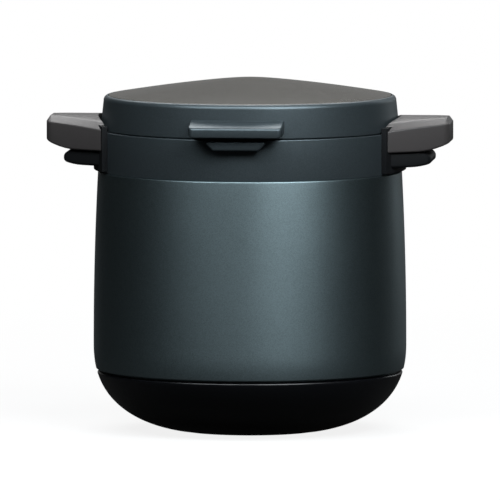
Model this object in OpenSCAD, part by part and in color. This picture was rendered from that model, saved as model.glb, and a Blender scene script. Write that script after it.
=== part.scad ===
// Thermal cooker: vacuum vessel, hinged insulated lid and inner pot.
// Origin on the table under the vessel's axis, +Z up, front at -Y, ear handles along X.

/* [Vessel] */
// Widest diameter of the painted body
body_d = 254.4; // [250:0.2:262]
// Height of the widest point
body_widest_z = 71; // [62:1:84]
// Amount by which the wall closes in up to the shoulder, each side
body_taper = 3.6; // [2:0.1:5]
// Height of the shoulder that the collar stands on
body_top_z = 211; // [190:1:240]
// Rounding of the shoulder
shoulder_r = 1.6; // [0.6:0.2:2]
// Thickness of the outer steel wall
shell_wall = 1.2; // [0.8:0.1:2]
// Width of the shoulder between the wall and the neck
neck_inset = 6.1; // [5.5:0.1:7]
// Height of the neck above the shoulder
neck_h = 22; // [18:1:28]
// Distance from the neck in to the liner's inside
liner_inset = 5.5; // [4.5:0.1:6]
// Thickness of the liner
liner_wall = 1; // [0.8:0.1:1.4]
// Height of the liner's floor
liner_floor_z = 30; // [26:1:36]
// Corner radius at the liner's floor
liner_corner_r = 20; // [12:1:28]
// Height of the disc that closes the outer wall
shell_floor_z = 16; // [14:1:20]
// Thickness of that disc
shell_floor_t = 1.2; // [0.8:0.1:2]
// Diameter of the cap over the evacuation hole
seal_cap_d = 18; // [16:1:24]
// Diameter of that cap at its lower end
seal_tip_d = 14.4; // [10:0.2:16]
// Height of that cap
seal_cap_h = 4; // [2:0.5:6]

/* [Base] */
// Height of the seam between the painted body and the base cover
seam_z = 47; // [40:1:58]
// Width of the seam groove
seam_gap = 0.5; // [0.2:0.1:1]
// Diameter at which the bowl curve starts under the base
bowl_flat_d = 54; // [30:1:80]
// Fullness of the bowl curve, 2 is an ellipse
bowl_n = 2.4; // [2:0.1:3]
// Depth of the bowl curve below the table line, cut off by the flat bottom
bowl_cut = 1.8; // [1:0.1:3]
// Wall of the base cover
cover_wall = 3; // [2.4:0.1:4]
// Gap between the base cover and the steel wall
cover_gap = 0.3; // [0.1:0.1:0.8]
// Height of the base cover's underside above the table
cover_lift = 1.2; // [0.6:0.1:2]
// Middle diameter of the rubber foot ring
foot_ring_d = 104; // [90:1:112]
// Width of the foot ring
foot_ring_w = 12; // [6:1:16]
// Height of the foot ring, part of it sunk in the base cover
foot_ring_h = 3; // [2.4:0.1:3.4]
// Pitch circle of the studs and screws that hold the base cover
stud_circle_d = 68; // [50:1:76]
// Diameter of the studs
stud_d = 10; // [8:0.5:14]
// Number of studs
stud_count = 3; // [3:1:6]

/* [Collar] */
// Step from the shoulder in to the collar
collar_step = 1.2; // [0.9:0.1:1.6]
// Height of the collar above the shoulder
collar_h = 33.6; // [32:0.2:40]
// Outer wall of the collar
collar_wall = 3.8; // [3:0.1:4.4]
// Width of the collar's top, outside the bore that the lid's skirt drops into
collar_top_w = 6.4; // [6:0.1:7]
// Distance by which the ledge that carries the pot stands in from the liner
ledge_inset = 3.4; // [3:0.1:4]
// Thickness of the ledge
ledge_t = 3; // [2:0.2:4]
// Length of the inner skirt below the ledge
collar_skirt_h = 9.6; // [5:0.2:14]
// Edge break of the collar's top
collar_edge = 0.7; // [0.3:0.1:1.2]
// Thickness of the seal under the ledge
collar_seal_t = 1.6; // [1:0.1:2.4]
// Width of the front lip at its top
lip_top_w = 52; // [44:1:60]
// Width of the front lip at its bottom
lip_bottom_w = 37; // [30:1:43]
// Height of the front lip
lip_h = 7.5; // [6:0.5:12]
// Distance of the front lip's top below the collar's top
lip_drop = 0.6; // [0.3:0.1:2]
// Distance of the front lip's face from the collar
lip_out = 8.1; // [6:0.1:10]

/* [Handles] */
// Distance of the handle's outer end from the collar
ear_out = 42.1; // [38:0.1:48]
// Half width of the handle at its root
ear_root_half = 51; // [46:0.5:54]
// Angle by which each side of the handle closes in
ear_taper = 32; // [28:1:36]
// Rounding of the outer corners
ear_corner_r = 11; // [8:0.5:14]
// Thickness of the upright plate at the root
root_plate_t = 4.6; // [4:0.1:6]
// Height of the root plate above the collar's top
root_plate_rise = 5.4; // [3:0.2:6.4]
// Height of the grip's crown above the collar's top
crown_rise = 11.9; // [10:0.1:14]
// Radius of the crowned top, seen from the side
crown_r = 235; // [200:5:300]
// Height of the joint between bracket and cover above the collar's bottom
bracket_h = 18.5; // [16:0.5:20]
// Angle by which the underside of the cover rises outwards
cover_rise_angle = 4.5; // [3:0.5:8]
// Wall of the hollow cover
ear_wall = 3; // [2.4:0.1:4]
// Distance of the bracket's outer end from the collar
bracket_out = 28.6; // [26:0.1:30]
// Inset of the bracket's sides from the cover's
bracket_inset = 4; // [3.5:0.5:5]
// Rounding of the bracket's outer corners
bracket_corner_r = 8; // [5:0.5:10]
// Angle by which the underside of the bracket rises outwards
bracket_rise_angle = 6; // [3:0.5:9]
// Angle by which the top of the bracket falls outwards
bracket_fall_angle = 8; // [5:0.5:10]
// Height of the bracket's underside above the collar's bottom, at the root
bracket_low = 4.5; // [3:0.5:6]
// Angle of the root plate's screws to each side of the handle's middle
handle_screw_angle = 14; // [11:0.5:16]
// Distance of the cover screws from the collar
ear_screw_out = 16.6; // [15:0.1:18]
// Half of the spacing of the cover screws
ear_screw_y = 20; // [16:0.5:22]
// Diameter of the screw bosses
boss_d = 10; // [9:0.5:12]

/* [Lid] */
// Gap between the collar and the lid
lid_gap = 0.6; // [0.5:0.1:1]
// Step from the collar in to the lid
lid_step = 1; // [0.8:0.1:1.4]
// Amount by which the lid's wall closes in up to its rim, each side
lid_taper = 2.6; // [2:0.1:3]
// Height of the lid's wall
lid_h = 27.6; // [26:0.2:30]
// Wall of the lid
lid_wall = 2.6; // [2:0.1:3]
// Rounding of the lid's rim
rim_r = 2.8; // [2:0.1:3.6]
// Width of the rim round the top plate
bezel_w = 3.9; // [3.6:0.1:5]
// Thickness of the top plate
plate_t = 2; // [1.5:0.1:2.6]
// Slope of the top plate
plate_slope = 0.145; // [0.13:0.001:0.16]
// Rounding length at the top plate's middle
plate_blend = 19; // [12:0.5:26]
// Fit of the top plate in its rebate, all round
plate_gap = 0.3; // [0.2:0.1:0.6]
// Width of the shelf that carries the top plate
shelf_w = 5; // [4:0.5:7]
// Thickness of the lid's skirt and inner pan
pan_t = 1.8; // [1.4:0.1:2]
// Radial play of the skirt in the collar's bore
skirt_gap = 0.6; // [0.5:0.1:0.8]
// Height of the skirt's lower edge below the lid's lower edge
skirt_drop = 3.2; // [2:0.2:4]
// Height of the pan's outer flat above the lid's lower edge
pan_rise = 12.6; // [12:0.2:14]
// Height of the pan's middle above its outer flat
pan_crown = 9; // [8:0.2:10]
// Width of the pan's outer flat, inside the skirt
pan_flat_w = 23.6; // [18:0.1:34]
// Diameter of the pan's flat middle
pan_middle_d = 70; // [60:1:90]
// Thickness of the lid's seal flange
flange_t = 2; // [1.4:0.1:2.6]
// Height of the lid gasket
gasket_h = 3; // [2.5:0.1:3.5]
// Gap between the lid gasket and the collar's top at rest
gasket_gap = 0.3; // [0.2:0.1:0.5]
// Fit of the lid gasket round the skirt
gasket_fit = 0.1; // [0.05:0.05:0.3]
// Gap round the insulation
foam_gap = 0.3; // [0.1:0.1:0.8]
// Distance of the insulation in from the top plate's edge
foam_inset = 6.9; // [4:0.1:15]
// Width of the lift tab
tab_w = 76; // [60:1:90]
// Distance of the tab's face from the lid's lower edge
tab_out = 15.6; // [13:0.1:18]
// Height of the tab's underside above the lid's lower edge
tab_lift = 1.8; // [1:0.1:3]
// Height of the tab's face
tab_face_h = 7.8; // [6:0.2:10]
// Height of the tab where it meets the lid
tab_root_h = 13.2; // [11:0.2:14]
// Wall of the hollow tab
tab_wall = 3; // [2:0.1:4]
// Rounding of the tab's front corners
tab_corner_r = 4; // [2:0.5:6]

/* [Hinge] */
// Distance of the hinge axis from the collar
hinge_out = 8.6; // [8:0.1:11]
// Height of the hinge axis above the collar's top
hinge_rise = 2.4; // [2:0.1:4]
// Diameter of the hinge barrel
barrel_d = 12; // [10:0.5:13]
// Diameter of the hinge pin
pin_d = 4; // [3:0.1:5]
// Radial play of the pin in the lid's barrel
pin_play = 0.06; // [0.03:0.01:0.1]
// Radial fit of the pin in the fixed barrels
pin_fit = 0.02; // [0.01:0.01:0.04]
// Overall width of the hinge
hinge_w = 62; // [54:1:70]
// Width of the lid's middle barrel
arm_w = 35; // [30:1:40]
// Side play between the barrels
barrel_gap = 0.4; // [0.3:0.1:0.8]
// Height of the fixed bracket on the collar
hinge_bracket_h = 22; // [18:0.5:24]
// Height of the slope under the fixed bracket
hinge_slope_h = 11; // [9:0.5:12]
// Height of the fixed bracket's screws above its lower edge
hinge_screw_rise = 8.8; // [7:0.2:10]
// Thickness of the arm's plate on the lid's wall
arm_plate_t = 3.5; // [3:0.1:4.5]
// Height of the arm's plate
arm_plate_h = 15; // [13:0.5:16]
// Distance of the arm's screws below the plate's upper edge
arm_screw_drop = 4.5; // [4:0.1:6]

/* [Screws] */
// Diameter of every screw's shank
screw_d = 4; // [3:0.1:4]
// Diameter of a countersunk head
head_d = 7.6; // [6.6:0.1:8]
// Height of a countersunk head
head_h = 2.2; // [1.8:0.1:2.4]
// Radial fit of a screw in its holes
screw_fit = 0.05; // [0.02:0.01:0.1]
// Length of the screws through the collar
collar_screw_l = 11; // [9:0.5:12]
// Length of the screws through the lid's wall
lid_screw_l = 7; // [6:0.5:8]
// Length of the screws in the handles
ear_screw_l = 16; // [14:0.5:18]
// Length of the screws in the base
base_screw_l = 10; // [8:0.5:12]
// Spacing of the screw pair in the hinge and the tab
pair_spacing = 24; // [20:1:26]

/* [Pot] */
// Gap between the pot's mouth and the ledge
pot_mouth_gap = 1.2; // [0.9:0.1:2]
// Width of the step that carries the pot lid
pot_step_w = 2.6; // [2:0.1:4]
// Wall of the pot
pot_wall = 1.2; // [0.8:0.1:1.4]
// Depth of the step that carries the pot lid, below the flange
pot_step = 5; // [4:0.5:8]
// Gap between the pot's flange and the collar's bore
pot_flange_gap = 4; // [3:0.1:5]
// Gap between the flange and the ledge at rest
seat_gap = 0.2; // [0.1:0.1:0.4]
// Gap between the pot's base and the liner's floor
pot_floor_gap = 2; // [1:0.5:4]
// Corner radius at the pot's bottom
pot_corner_r = 16; // [10:1:20]
// Thickness of the aluminium disc
core_t = 4; // [2:0.5:6]
// Distance of the aluminium disc in from the pot's wall
core_inset = 20.8; // [18:0.1:30]
// Thickness of the steel cap over the disc
cap_t = 1; // [0.6:0.1:1.5]
// Diameter of the bail wire
bail_wire_d = 4; // [3:0.2:4]
// Distance of the folded bail outside the pot's mouth
bail_out = 3.2; // [2.8:0.1:3.4]
// Gap between the folded bail and the flange
bail_lift = 0.5; // [0.3:0.1:1]
// Thickness of the bail ears
bail_ear_t = 1.9; // [1.4:0.1:2]
// Width of the bail ears
bail_ear_w = 10; // [8:0.5:14]
// Radial play of the wire in the ears
bail_play = 0.06; // [0.03:0.01:0.1]

/* [Pot lid] */
// Gap round the pot lid in the pot's mouth
pot_lid_gap = 0.5; // [0.3:0.1:0.8]
// Height of the steel rim
lid_ring_h = 6; // [5.4:0.2:7]
// Width of the steel rim
lid_ring_w = 5; // [3:0.5:8]
// Fit of the glass in the steel rim
glass_fit = 0.1; // [0.05:0.05:0.3]
// Thickness of the glass
glass_t = 4; // [3:0.2:5]
// Height by which the glass rises at its middle
glass_crown = 5; // [4:0.5:6]
// Diameter of the knob
knob_d = 38; // [30:1:46]
// Height of the knob
knob_h = 13; // [11:0.5:14]
// Diameter of the knob's neck
knob_neck_d = 20; // [18:1:24]
// Amount by which the neck narrows upwards, each side
knob_waist = 1; // [0.5:0.1:2]
// Height of the neck
knob_neck_h = 5.8; // [5:0.1:6.4]
// Height of the knob's grip edge
knob_grip_h = 2.4; // [2:0.1:2.8]
// Edge break on top of the knob
knob_edge = 1.6; // [1:0.1:2]
// Diameter of the knob screw
knob_screw_d = 5; // [4:0.5:6]
// Depth of the screw in the knob
knob_screw_in = 7.2; // [6:0.2:9]
// Diameter of the knob screw's head
knob_head_d = 10; // [9:0.5:12]
// Height of that head
knob_head_h = 2; // [1.6:0.1:3]
// Diameter of the washers
washer_d = 16; // [12:1:20]
// Thickness of a washer
washer_t = 1; // [0.6:0.1:1.5]
// Distance of the steam hole from the axis
vent_y = 66; // [50:1:80]
// Diameter of the steam hole
vent_d = 6; // [4:0.5:8]
// Width of the eyelet's flange
vent_flange = 2.5; // [1.5:0.5:4]
// Thickness of the eyelet's flange
vent_t = 0.8; // [0.5:0.1:1.2]

/* [Hidden] */
$fn = 96;

// Length that carries a cut clear through what it cuts
over = 1;
// Reach of the blocks that trim the handles
far = 300;

// Vessel
body_r = body_d / 2;
body_top_r = body_r - body_taper;
bowl_flat_r = bowl_flat_d / 2;
neck_r = body_top_r - neck_inset;
liner_r = neck_r - liner_inset;
neck_top_z = body_top_z + neck_h;
rim_z = neck_top_z + liner_wall;
shell_inset = cover_wall + cover_gap;

// Base
cover_floor_z = cover_lift + cover_wall;
stud_z = shell_floor_z - shell_floor_t;
foot_groove_h = foot_ring_h - cover_lift;
stud_step = 360 / stud_count;

// Collar
collar_r = body_top_r - collar_step;
collar_top_z = body_top_z + collar_h;
collar_inner_r = collar_r - collar_wall;
collar_bore_r = collar_r - collar_top_w;
ledge_r = liner_r - ledge_inset;
ledge_bottom_z = rim_z + collar_seal_t;
ledge_z = ledge_bottom_z + ledge_t;
skirt_outer_r = liner_r - cover_gap;
lip_top_z = collar_top_z - lip_drop;
lip_reach = collar_r + lip_out;

// Handles
plate_r = collar_r + root_plate_t;
root_plate_z = collar_top_z + root_plate_rise;
crown_z = collar_top_z + crown_rise;
ear_reach = collar_r + ear_out;
ear_screw_x = collar_r + ear_screw_out;
bracket_reach = collar_r + bracket_out;
ear_root_x = sqrt(plate_r * plate_r - ear_root_half * ear_root_half);
bracket_top_z = body_top_z + bracket_h;
root_angle = asin(ear_root_half / collar_r);
boss_r = boss_d / 2;
ear_head_z = bracket_top_z - ear_screw_l / 2;
collar_screw_z = body_top_z + bracket_h / 2;

// Lid
lid_z = collar_top_z + lid_gap;
lid_bottom_r = collar_r - lid_step;
lid_rim_r = lid_bottom_r - lid_taper;
lid_rim_z = lid_z + lid_h;
lid_draft = (lid_bottom_r - lid_rim_r) / (lid_h - rim_r);
plate_edge_r = lid_rim_r - bezel_w;
rebate_r = plate_edge_r + plate_gap;
shelf_z = lid_rim_z - plate_t;
shelf_r = plate_edge_r - shelf_w;
lid_skirt_r = collar_bore_r - skirt_gap;
pan_z = lid_z + pan_rise;
pan_flat_r = lid_skirt_r - pan_t - pan_flat_w;
foam_r = plate_edge_r - foam_inset;
gasket_z = collar_top_z + gasket_gap;
flange_z = gasket_z + gasket_h;
tab_z = lid_z + tab_lift;
tab_reach = lid_bottom_r + tab_out;
tab_screw_z = tab_z + tab_root_h / 2;

// Hinge
hinge_y = collar_r + hinge_out;
hinge_z = collar_top_z + hinge_rise;
barrel_r = barrel_d / 2;
pin_r = pin_d / 2;
arm_half = arm_w / 2;
ear_inner_x = arm_half + barrel_gap;
hinge_half = hinge_w / 2;
hinge_bottom_z = collar_top_z - hinge_bracket_h;
arm_z = lid_z + barrel_gap;
arm_screw_z = arm_z + arm_plate_h - arm_screw_drop;
hinge_screw_z = hinge_bottom_z + hinge_screw_rise;

// Screws
screw_r = screw_d / 2;
head_r = head_d / 2;
hole_r = screw_r + screw_fit;

// Pot
pot_mouth_r = ledge_r - pot_mouth_gap;
pot_r = pot_mouth_r - pot_step_w;
pot_flange_r = collar_bore_r - pot_flange_gap;
flange_seat_z = ledge_z + seat_gap;
flange_top_z = flange_seat_z + pot_wall;
step_z = flange_top_z - pot_step;
cap_z = liner_floor_z + pot_floor_gap;
core_z = cap_z + cap_t;
pot_z = core_z + core_t;
core_d = 2 * (pot_r - core_inset);
bail_wire_r = bail_wire_d / 2;
bail_r = pot_mouth_r + bail_out;
bail_z = flange_top_z + bail_lift + bail_wire_r;
bail_ear_x = pot_mouth_r - pot_wall;

// Pot lid
pot_lid_r = pot_mouth_r - pot_wall - pot_lid_gap;
pot_lid_z = step_z + seat_gap;
glass_r = pot_lid_r - lid_ring_w / 2;
glass_z = pot_lid_z + (lid_ring_h - glass_t) / 2 + glass_t;
glass_top_z = glass_z + glass_crown;
glass_radius = (glass_r * glass_r + glass_crown * glass_crown) / (2 * glass_crown);
glass_under_r = glass_radius - glass_t;
washer_top_z = glass_top_z - glass_radius + sqrt(glass_under_r * glass_under_r - washer_d * washer_d / 4);
knob_z = glass_top_z + washer_t;
knob_edge_z = knob_z + knob_h - knob_edge;

// Points along an arc round a centre
function arc(centre, r, a0, a1, steps = 8) =
  [for (i = [0:steps]) centre + r * [cos(a0 + (a1 - a0) * i / steps), sin(a0 + (a1 - a0) * i / steps)]];

function flip(points) = [for (i = [len(points) - 1:-1:0]) points[i]];

// Bowl curve of the body from the base to the widest point, moved inwards by w
function bowl_t(z, w) = acos(pow((body_widest_z - z) / (body_widest_z + bowl_cut - w), bowl_n / 2));
function bowl_point(t, w) = [
  bowl_flat_r + (body_r - bowl_flat_r - w) * pow(sin(t), 2 / bowl_n),
  body_widest_z - (body_widest_z + bowl_cut - w) * pow(cos(t), 2 / bowl_n)
];
function bowl(z0, z1, w, steps = 14) =
  [for (i = [0:steps]) bowl_point(bowl_t(z0, w) + (bowl_t(z1, w) - bowl_t(z0, w)) * i / steps, w)];
function bowl_r(z, w) = bowl_point(bowl_t(z, w), w)[0];

// Outer radius of the lid's drafted wall at a height
function lid_r(z) = lid_bottom_r - (z - lid_z) * lid_draft;

// Height of the top plate's upper face at a radius
function plate_z(r) = lid_rim_z + plate_slope *
  (sqrt(plate_edge_r * plate_edge_r + plate_blend * plate_blend) - sqrt(r * r + plate_blend * plate_blend));
function plate_curve(r_max, drop, steps = 20) =
  [for (i = [0:steps]) [r_max * i / steps, plate_z(r_max * i / steps) - drop]];

// Plan of an ear handle: root wide, sides closing in, outer corners round
function ear_plan(reach, inset, corner) =
  let (
    slope = tan(ear_taper),
    start_x = ear_root_x - 2 * root_plate_t,
    start_half = ear_root_half - inset + (ear_root_x - start_x) * slope,
    end_half = start_half - (reach - start_x) * slope,
    centre = [reach - corner, end_half - corner * tan(45 - ear_taper / 2)],
    side = arc(centre, corner, 90 - ear_taper, 0)
  )
  concat([[start_x, start_half]], side, [for (p = flip(side)) [p[0], -p[1]]], [[start_x, -start_half]]);

module revolve(points) { rotate_extrude() polygon(points); }

module ring(r_out, r_in, z, h) {
  translate([0, 0, z]) difference() {
    cylinder(r = r_out, h = h);
    translate([0, 0, -over]) cylinder(r = r_in, h = h + 2 * over);
  }
}

// Puts a child that points along +Z at a radius, pointing outwards
module outwards(angle, r, z, side = 0) {
  rotate([0, 0, angle]) translate([r, side, z]) rotate([0, 90, 0]) children();
}

// Countersunk screw with its head's face at z = 0 and its shank along +Z
module screw(l) {
  cylinder(r1 = head_r, r2 = screw_r, h = head_h);
  cylinder(r = screw_r, h = l);
}

// Hole for that screw, with a way in for its head
module screw_hole(l, access = over) {
  cylinder(r1 = head_r + screw_fit, r2 = hole_r, h = head_h);
  cylinder(r = hole_r, h = l + screw_fit);
  translate([0, 0, -access]) cylinder(r = head_r + screw_fit, h = access);
}

// Places of the screws through the collar's wall
module collar_screw_places() {
  for (side = [0, 180], a = [-handle_screw_angle, handle_screw_angle])
    outwards(side + a, collar_inner_r + screw_fit, collar_screw_z) children();
  for (y = [-pair_spacing / 2, pair_spacing / 2])
    outwards(90, collar_inner_r + screw_fit, hinge_screw_z, y) children();
}

// Places of the screws through the lid's wall
module lid_screw_places() {
  for (y = [-pair_spacing / 2, pair_spacing / 2]) {
    outwards(90, lid_r(arm_screw_z) - lid_wall - head_h / 2, arm_screw_z, y) children();
    outwards(-90, lid_r(tab_screw_z) - lid_wall - head_h / 2, tab_screw_z, y) children();
  }
}

module ear_screw_places() {
  for (y = [-ear_screw_y, ear_screw_y]) translate([ear_screw_x, y, ear_head_z]) children();
}

module stud_places() {
  for (i = [0:stud_count - 1]) rotate([0, 0, 90 + i * stud_step])
    translate([stud_circle_d / 2, 0, 0]) children();
}

// Solid inside the lid's outer wall, for what sits against that wall
module lid_cone(grow = 0) {
  low = lid_z - lid_h;
  high = lid_rim_z + lid_h;
  translate([0, 0, low]) cylinder(r1 = lid_r(low) + grow, r2 = lid_r(high) + grow, h = high - low);
}

module outer_shell() {
  step_z = seam_z + seam_gap;
  shoulder = [body_top_r - shoulder_r, body_top_z - shoulder_r];
  outer = concat(
    bowl(shell_floor_z, step_z, shell_inset),
    bowl(step_z, body_widest_z, 0),
    arc(shoulder, shoulder_r, 0, 90, 6),
    [[neck_r, body_top_z], [neck_r, neck_top_z]]
  );
  inner = concat(
    [[neck_r - shell_wall, neck_top_z], [neck_r - shell_wall, body_top_z - shell_wall]],
    [[shoulder[0], body_top_z - shell_wall]],
    [[body_top_r - shell_wall, body_top_z - shoulder_r - shell_wall]],
    flip(bowl(step_z + shell_wall, body_widest_z, shell_wall)),
    flip(bowl(shell_floor_z, step_z + shell_wall, shell_inset + shell_wall))
  );
  color("#2f4247") revolve(concat(outer, inner));
}

module shell_floor() {
  color("#b9bcc0") translate([0, 0, stud_z]) cylinder(r = bowl_r(stud_z, shell_inset), h = shell_floor_t);
}

module vacuum_seal() {
  color("#a8abb0") translate([0, 0, stud_z - seal_cap_h])
    cylinder(d1 = seal_tip_d, d2 = seal_cap_d, h = seal_cap_h);
}

module inner_liner() {
  corner = [liner_r - liner_corner_r, liner_floor_z + liner_corner_r];
  color("#c3c6ca") revolve(concat(
    [[0, liner_floor_z - liner_wall]],
    arc(corner, liner_corner_r + liner_wall, -90, 0, 12),
    [[liner_r + liner_wall, neck_top_z], [neck_r, neck_top_z], [neck_r, rim_z], [liner_r, rim_z]],
    arc(corner, liner_corner_r, 0, -90, 12),
    [[0, liner_floor_z]]
  ));
}

// Band of the foot ring's width
module foot_band(z, h) {
  ring((foot_ring_d + foot_ring_w) / 2, (foot_ring_d - foot_ring_w) / 2, z, h);
}

module base_cover() {
  color("#0b0c0e") difference() {
    revolve(concat(
      [[0, cover_lift]],
      bowl(cover_lift, seam_z, 0, 24),
      flip(bowl(cover_floor_z, seam_z, cover_wall, 24)),
      [[0, cover_floor_z]]
    ));
    foot_band(cover_lift - over, foot_groove_h + over);
    stud_places() translate([0, 0, cover_lift]) screw_hole(base_screw_l);
  }
}

module base_studs() {
  color("#9fa3a8") stud_places() difference() {
    translate([0, 0, cover_floor_z]) cylinder(d = stud_d, h = stud_z - cover_floor_z);
    translate([0, 0, cover_lift]) screw_hole(base_screw_l);
  }
}

module base_screws() {
  color("#8d9196") stud_places() translate([0, 0, cover_lift]) screw(base_screw_l);
}

module foot_ring() {
  color("#1a1b1c") foot_band(0, foot_ring_h);
}

module collar() {
  color("#2b3338") difference() {
    revolve([
      [collar_r, body_top_z],
      [collar_r, collar_top_z - collar_edge],
      [collar_r - collar_edge, collar_top_z],
      [collar_bore_r, collar_top_z],
      [collar_bore_r, ledge_z],
      [ledge_r, ledge_z],
      [ledge_r, ledge_bottom_z - collar_skirt_h],
      [skirt_outer_r, ledge_bottom_z - collar_skirt_h],
      [skirt_outer_r, ledge_bottom_z],
      [collar_inner_r, ledge_bottom_z],
      [collar_inner_r, body_top_z]
    ]);
    collar_screw_places() screw_hole(collar_screw_l);
  }
}

module collar_seal() {
  color("#4a4d50") ring(neck_r, liner_r + cover_gap, rim_z, collar_seal_t);
}

module collar_lip() {
  color("#25282b") difference() {
    rotate([90, 0, 0]) linear_extrude(lip_reach) polygon([
      [-lip_top_w / 2, lip_top_z],
      [lip_top_w / 2, lip_top_z],
      [lip_bottom_w / 2, lip_top_z - lip_h],
      [-lip_bottom_w / 2, lip_top_z - lip_h]
    ]);
    translate([0, 0, lip_top_z - lip_h - over]) cylinder(r = collar_r, h = lip_h + 2 * over);
  }
}

module collar_screws() {
  color("#8d9196") collar_screw_places() screw(collar_screw_l);
}

// Space above the underside of a handle piece, which rises outwards from a radius at the root
module above_slope(r, z, angle) {
  translate([r, 0, z]) rotate([0, -angle, 0]) translate([-far / 2, -far / 2, 0]) cube(far);
}

// Space below the top of a handle piece, which falls outwards from a radius at the root
module below_slope(r, z, angle) {
  translate([r, 0, z]) rotate([0, angle, 0]) translate([-far / 2, -far / 2, -far]) cube(far);
}

// Space under the crowned top of the grip, less a wall
module under_crown(wall) {
  translate([0, 0, crown_z - crown_r]) rotate([0, 90, 0]) cylinder(r = crown_r - wall, h = far, $fn = 180);
}

module handle_bracket_right() {
  color("#0d0e10") difference() {
    union() {
      rotate([0, 0, -root_angle]) translate([0, 0, body_top_z]) rotate_extrude(angle = 2 * root_angle)
        translate([collar_r - over, 0]) square([root_plate_t + over, root_plate_z - body_top_z]);
      intersection() {
        translate([0, 0, body_top_z]) linear_extrude(bracket_h)
          polygon(ear_plan(bracket_reach, bracket_inset, bracket_corner_r));
        above_slope(plate_r, body_top_z + bracket_low, bracket_rise_angle);
        below_slope(plate_r + over, bracket_top_z, bracket_fall_angle);
      }
      for (y = [-ear_screw_y, ear_screw_y]) translate([ear_screw_x, y, bracket_top_z - ear_wall])
        cylinder(r = boss_r, h = 2 * ear_wall);
    }
    translate([0, 0, body_top_z - over]) cylinder(r = collar_r, h = root_plate_z - body_top_z + 2 * over);
    ear_screw_places() screw_hole(ear_screw_l, bracket_h);
    collar_screw_places() screw_hole(collar_screw_l);
  }
}

module handle_bracket_left() { mirror([1, 0, 0]) handle_bracket_right(); }

module handle_cover_right() {
  boss_z = bracket_top_z + ear_wall;
  color("#4b4644") difference() {
    union() {
      difference() {
        intersection() {
          translate([0, 0, bracket_top_z]) linear_extrude(crown_z - bracket_top_z)
            polygon(ear_plan(ear_reach, 0, ear_corner_r));
          under_crown(0);
          above_slope(plate_r + over, bracket_top_z, cover_rise_angle);
        }
        intersection() {
          translate([0, 0, bracket_top_z - over]) linear_extrude(crown_z - bracket_top_z)
            polygon(ear_plan(ear_reach - ear_wall, ear_wall, ear_corner_r - ear_wall));
          under_crown(ear_wall);
          ring(far, plate_r + ear_wall, bracket_top_z - over, crown_z - bracket_top_z);
        }
      }
      intersection() {
        for (y = [-ear_screw_y, ear_screw_y]) translate([ear_screw_x, y, boss_z])
          cylinder(r = boss_r, h = crown_z - boss_z);
        under_crown(ear_wall / 2);
      }
    }
    translate([0, 0, bracket_top_z - over]) cylinder(r = plate_r, h = crown_z - bracket_top_z + 2 * over);
    ear_screw_places() screw_hole(ear_screw_l);
  }
}

module handle_cover_left() { mirror([1, 0, 0]) handle_cover_right(); }

module handle_screws() {
  color("#8d9196") for (side = [0, 1]) mirror([side, 0, 0]) ear_screw_places() screw(ear_screw_l);
}

// Barrel on the hinge axis between two places along X
module barrel(x0, x1, r) {
  translate([x0, hinge_y, hinge_z]) rotate([0, 90, 0]) cylinder(r = r, h = x1 - x0);
}

// Side view, in Y and Z, drawn out along X between two places
module side_view(x0, x1, points) {
  translate([x0, 0, 0]) rotate([90, 0, 90]) linear_extrude(x1 - x0) polygon(points);
}

module hinge_bracket() {
  back_y = hinge_y + barrel_r;
  ear_front_y = hinge_y - barrel_r;
  middle_z = hinge_z - barrel_r - barrel_gap;
  foot = [[collar_inner_r - collar_wall, hinge_bottom_z], [collar_r + over, hinge_bottom_z]];
  color("#1d2124") difference() {
    union() {
      for (side = [0, 1]) mirror([side, 0, 0]) {
        side_view(ear_inner_x, hinge_half, concat(foot, [
          [back_y, hinge_bottom_z + hinge_slope_h],
          [back_y, hinge_z],
          [ear_front_y, hinge_z],
          [ear_front_y, middle_z],
          [collar_inner_r - collar_wall, middle_z]
        ]));
        barrel(ear_inner_x, hinge_half, barrel_r);
      }
      side_view(-ear_inner_x, ear_inner_x, concat(foot, [
        [back_y, hinge_bottom_z + hinge_slope_h],
        [back_y, middle_z],
        [collar_inner_r - collar_wall, middle_z]
      ]));
    }
    translate([0, 0, hinge_bottom_z - over]) cylinder(r = collar_r, h = hinge_bracket_h + 2 * over);
    barrel(-hinge_half - over, hinge_half + over, pin_r + pin_fit);
    collar_screw_places() screw_hole(collar_screw_l);
  }
}

module hinge_pin() {
  color("#b4b8bc") barrel(-hinge_half, hinge_half, pin_r);
}

module lid_shell() {
  rim = [lid_rim_r - rim_r, lid_rim_z - rim_r];
  color("#2a3136") difference() {
    revolve(concat(
      [[lid_bottom_r, lid_z]],
      arc(rim, rim_r, 0, 90),
      [
        [rebate_r, lid_rim_z],
        [rebate_r, shelf_z],
        [shelf_r, shelf_z],
        [shelf_r, shelf_z - plate_t],
        [lid_r(shelf_z - plate_t) - lid_wall, shelf_z - plate_t],
        [lid_bottom_r - lid_wall, lid_z]
      ]
    ));
    lid_screw_places() screw_hole(lid_screw_l);
  }
}

module lid_top_plate() {
  color("#6c675f") revolve(concat(plate_curve(plate_edge_r, 0), flip(plate_curve(plate_edge_r, plate_t))));
}

module lid_foam() {
  floor_z = pan_z + pan_t + foam_gap;
  color("#d8d4c8") revolve(concat(
    [
      [0, floor_z + pan_crown],
      [pan_middle_d / 2, floor_z + pan_crown],
      [pan_flat_r, floor_z],
      [foam_r, floor_z]
    ],
    flip(plate_curve(foam_r, plate_t + foam_gap))
  ));
}

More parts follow.
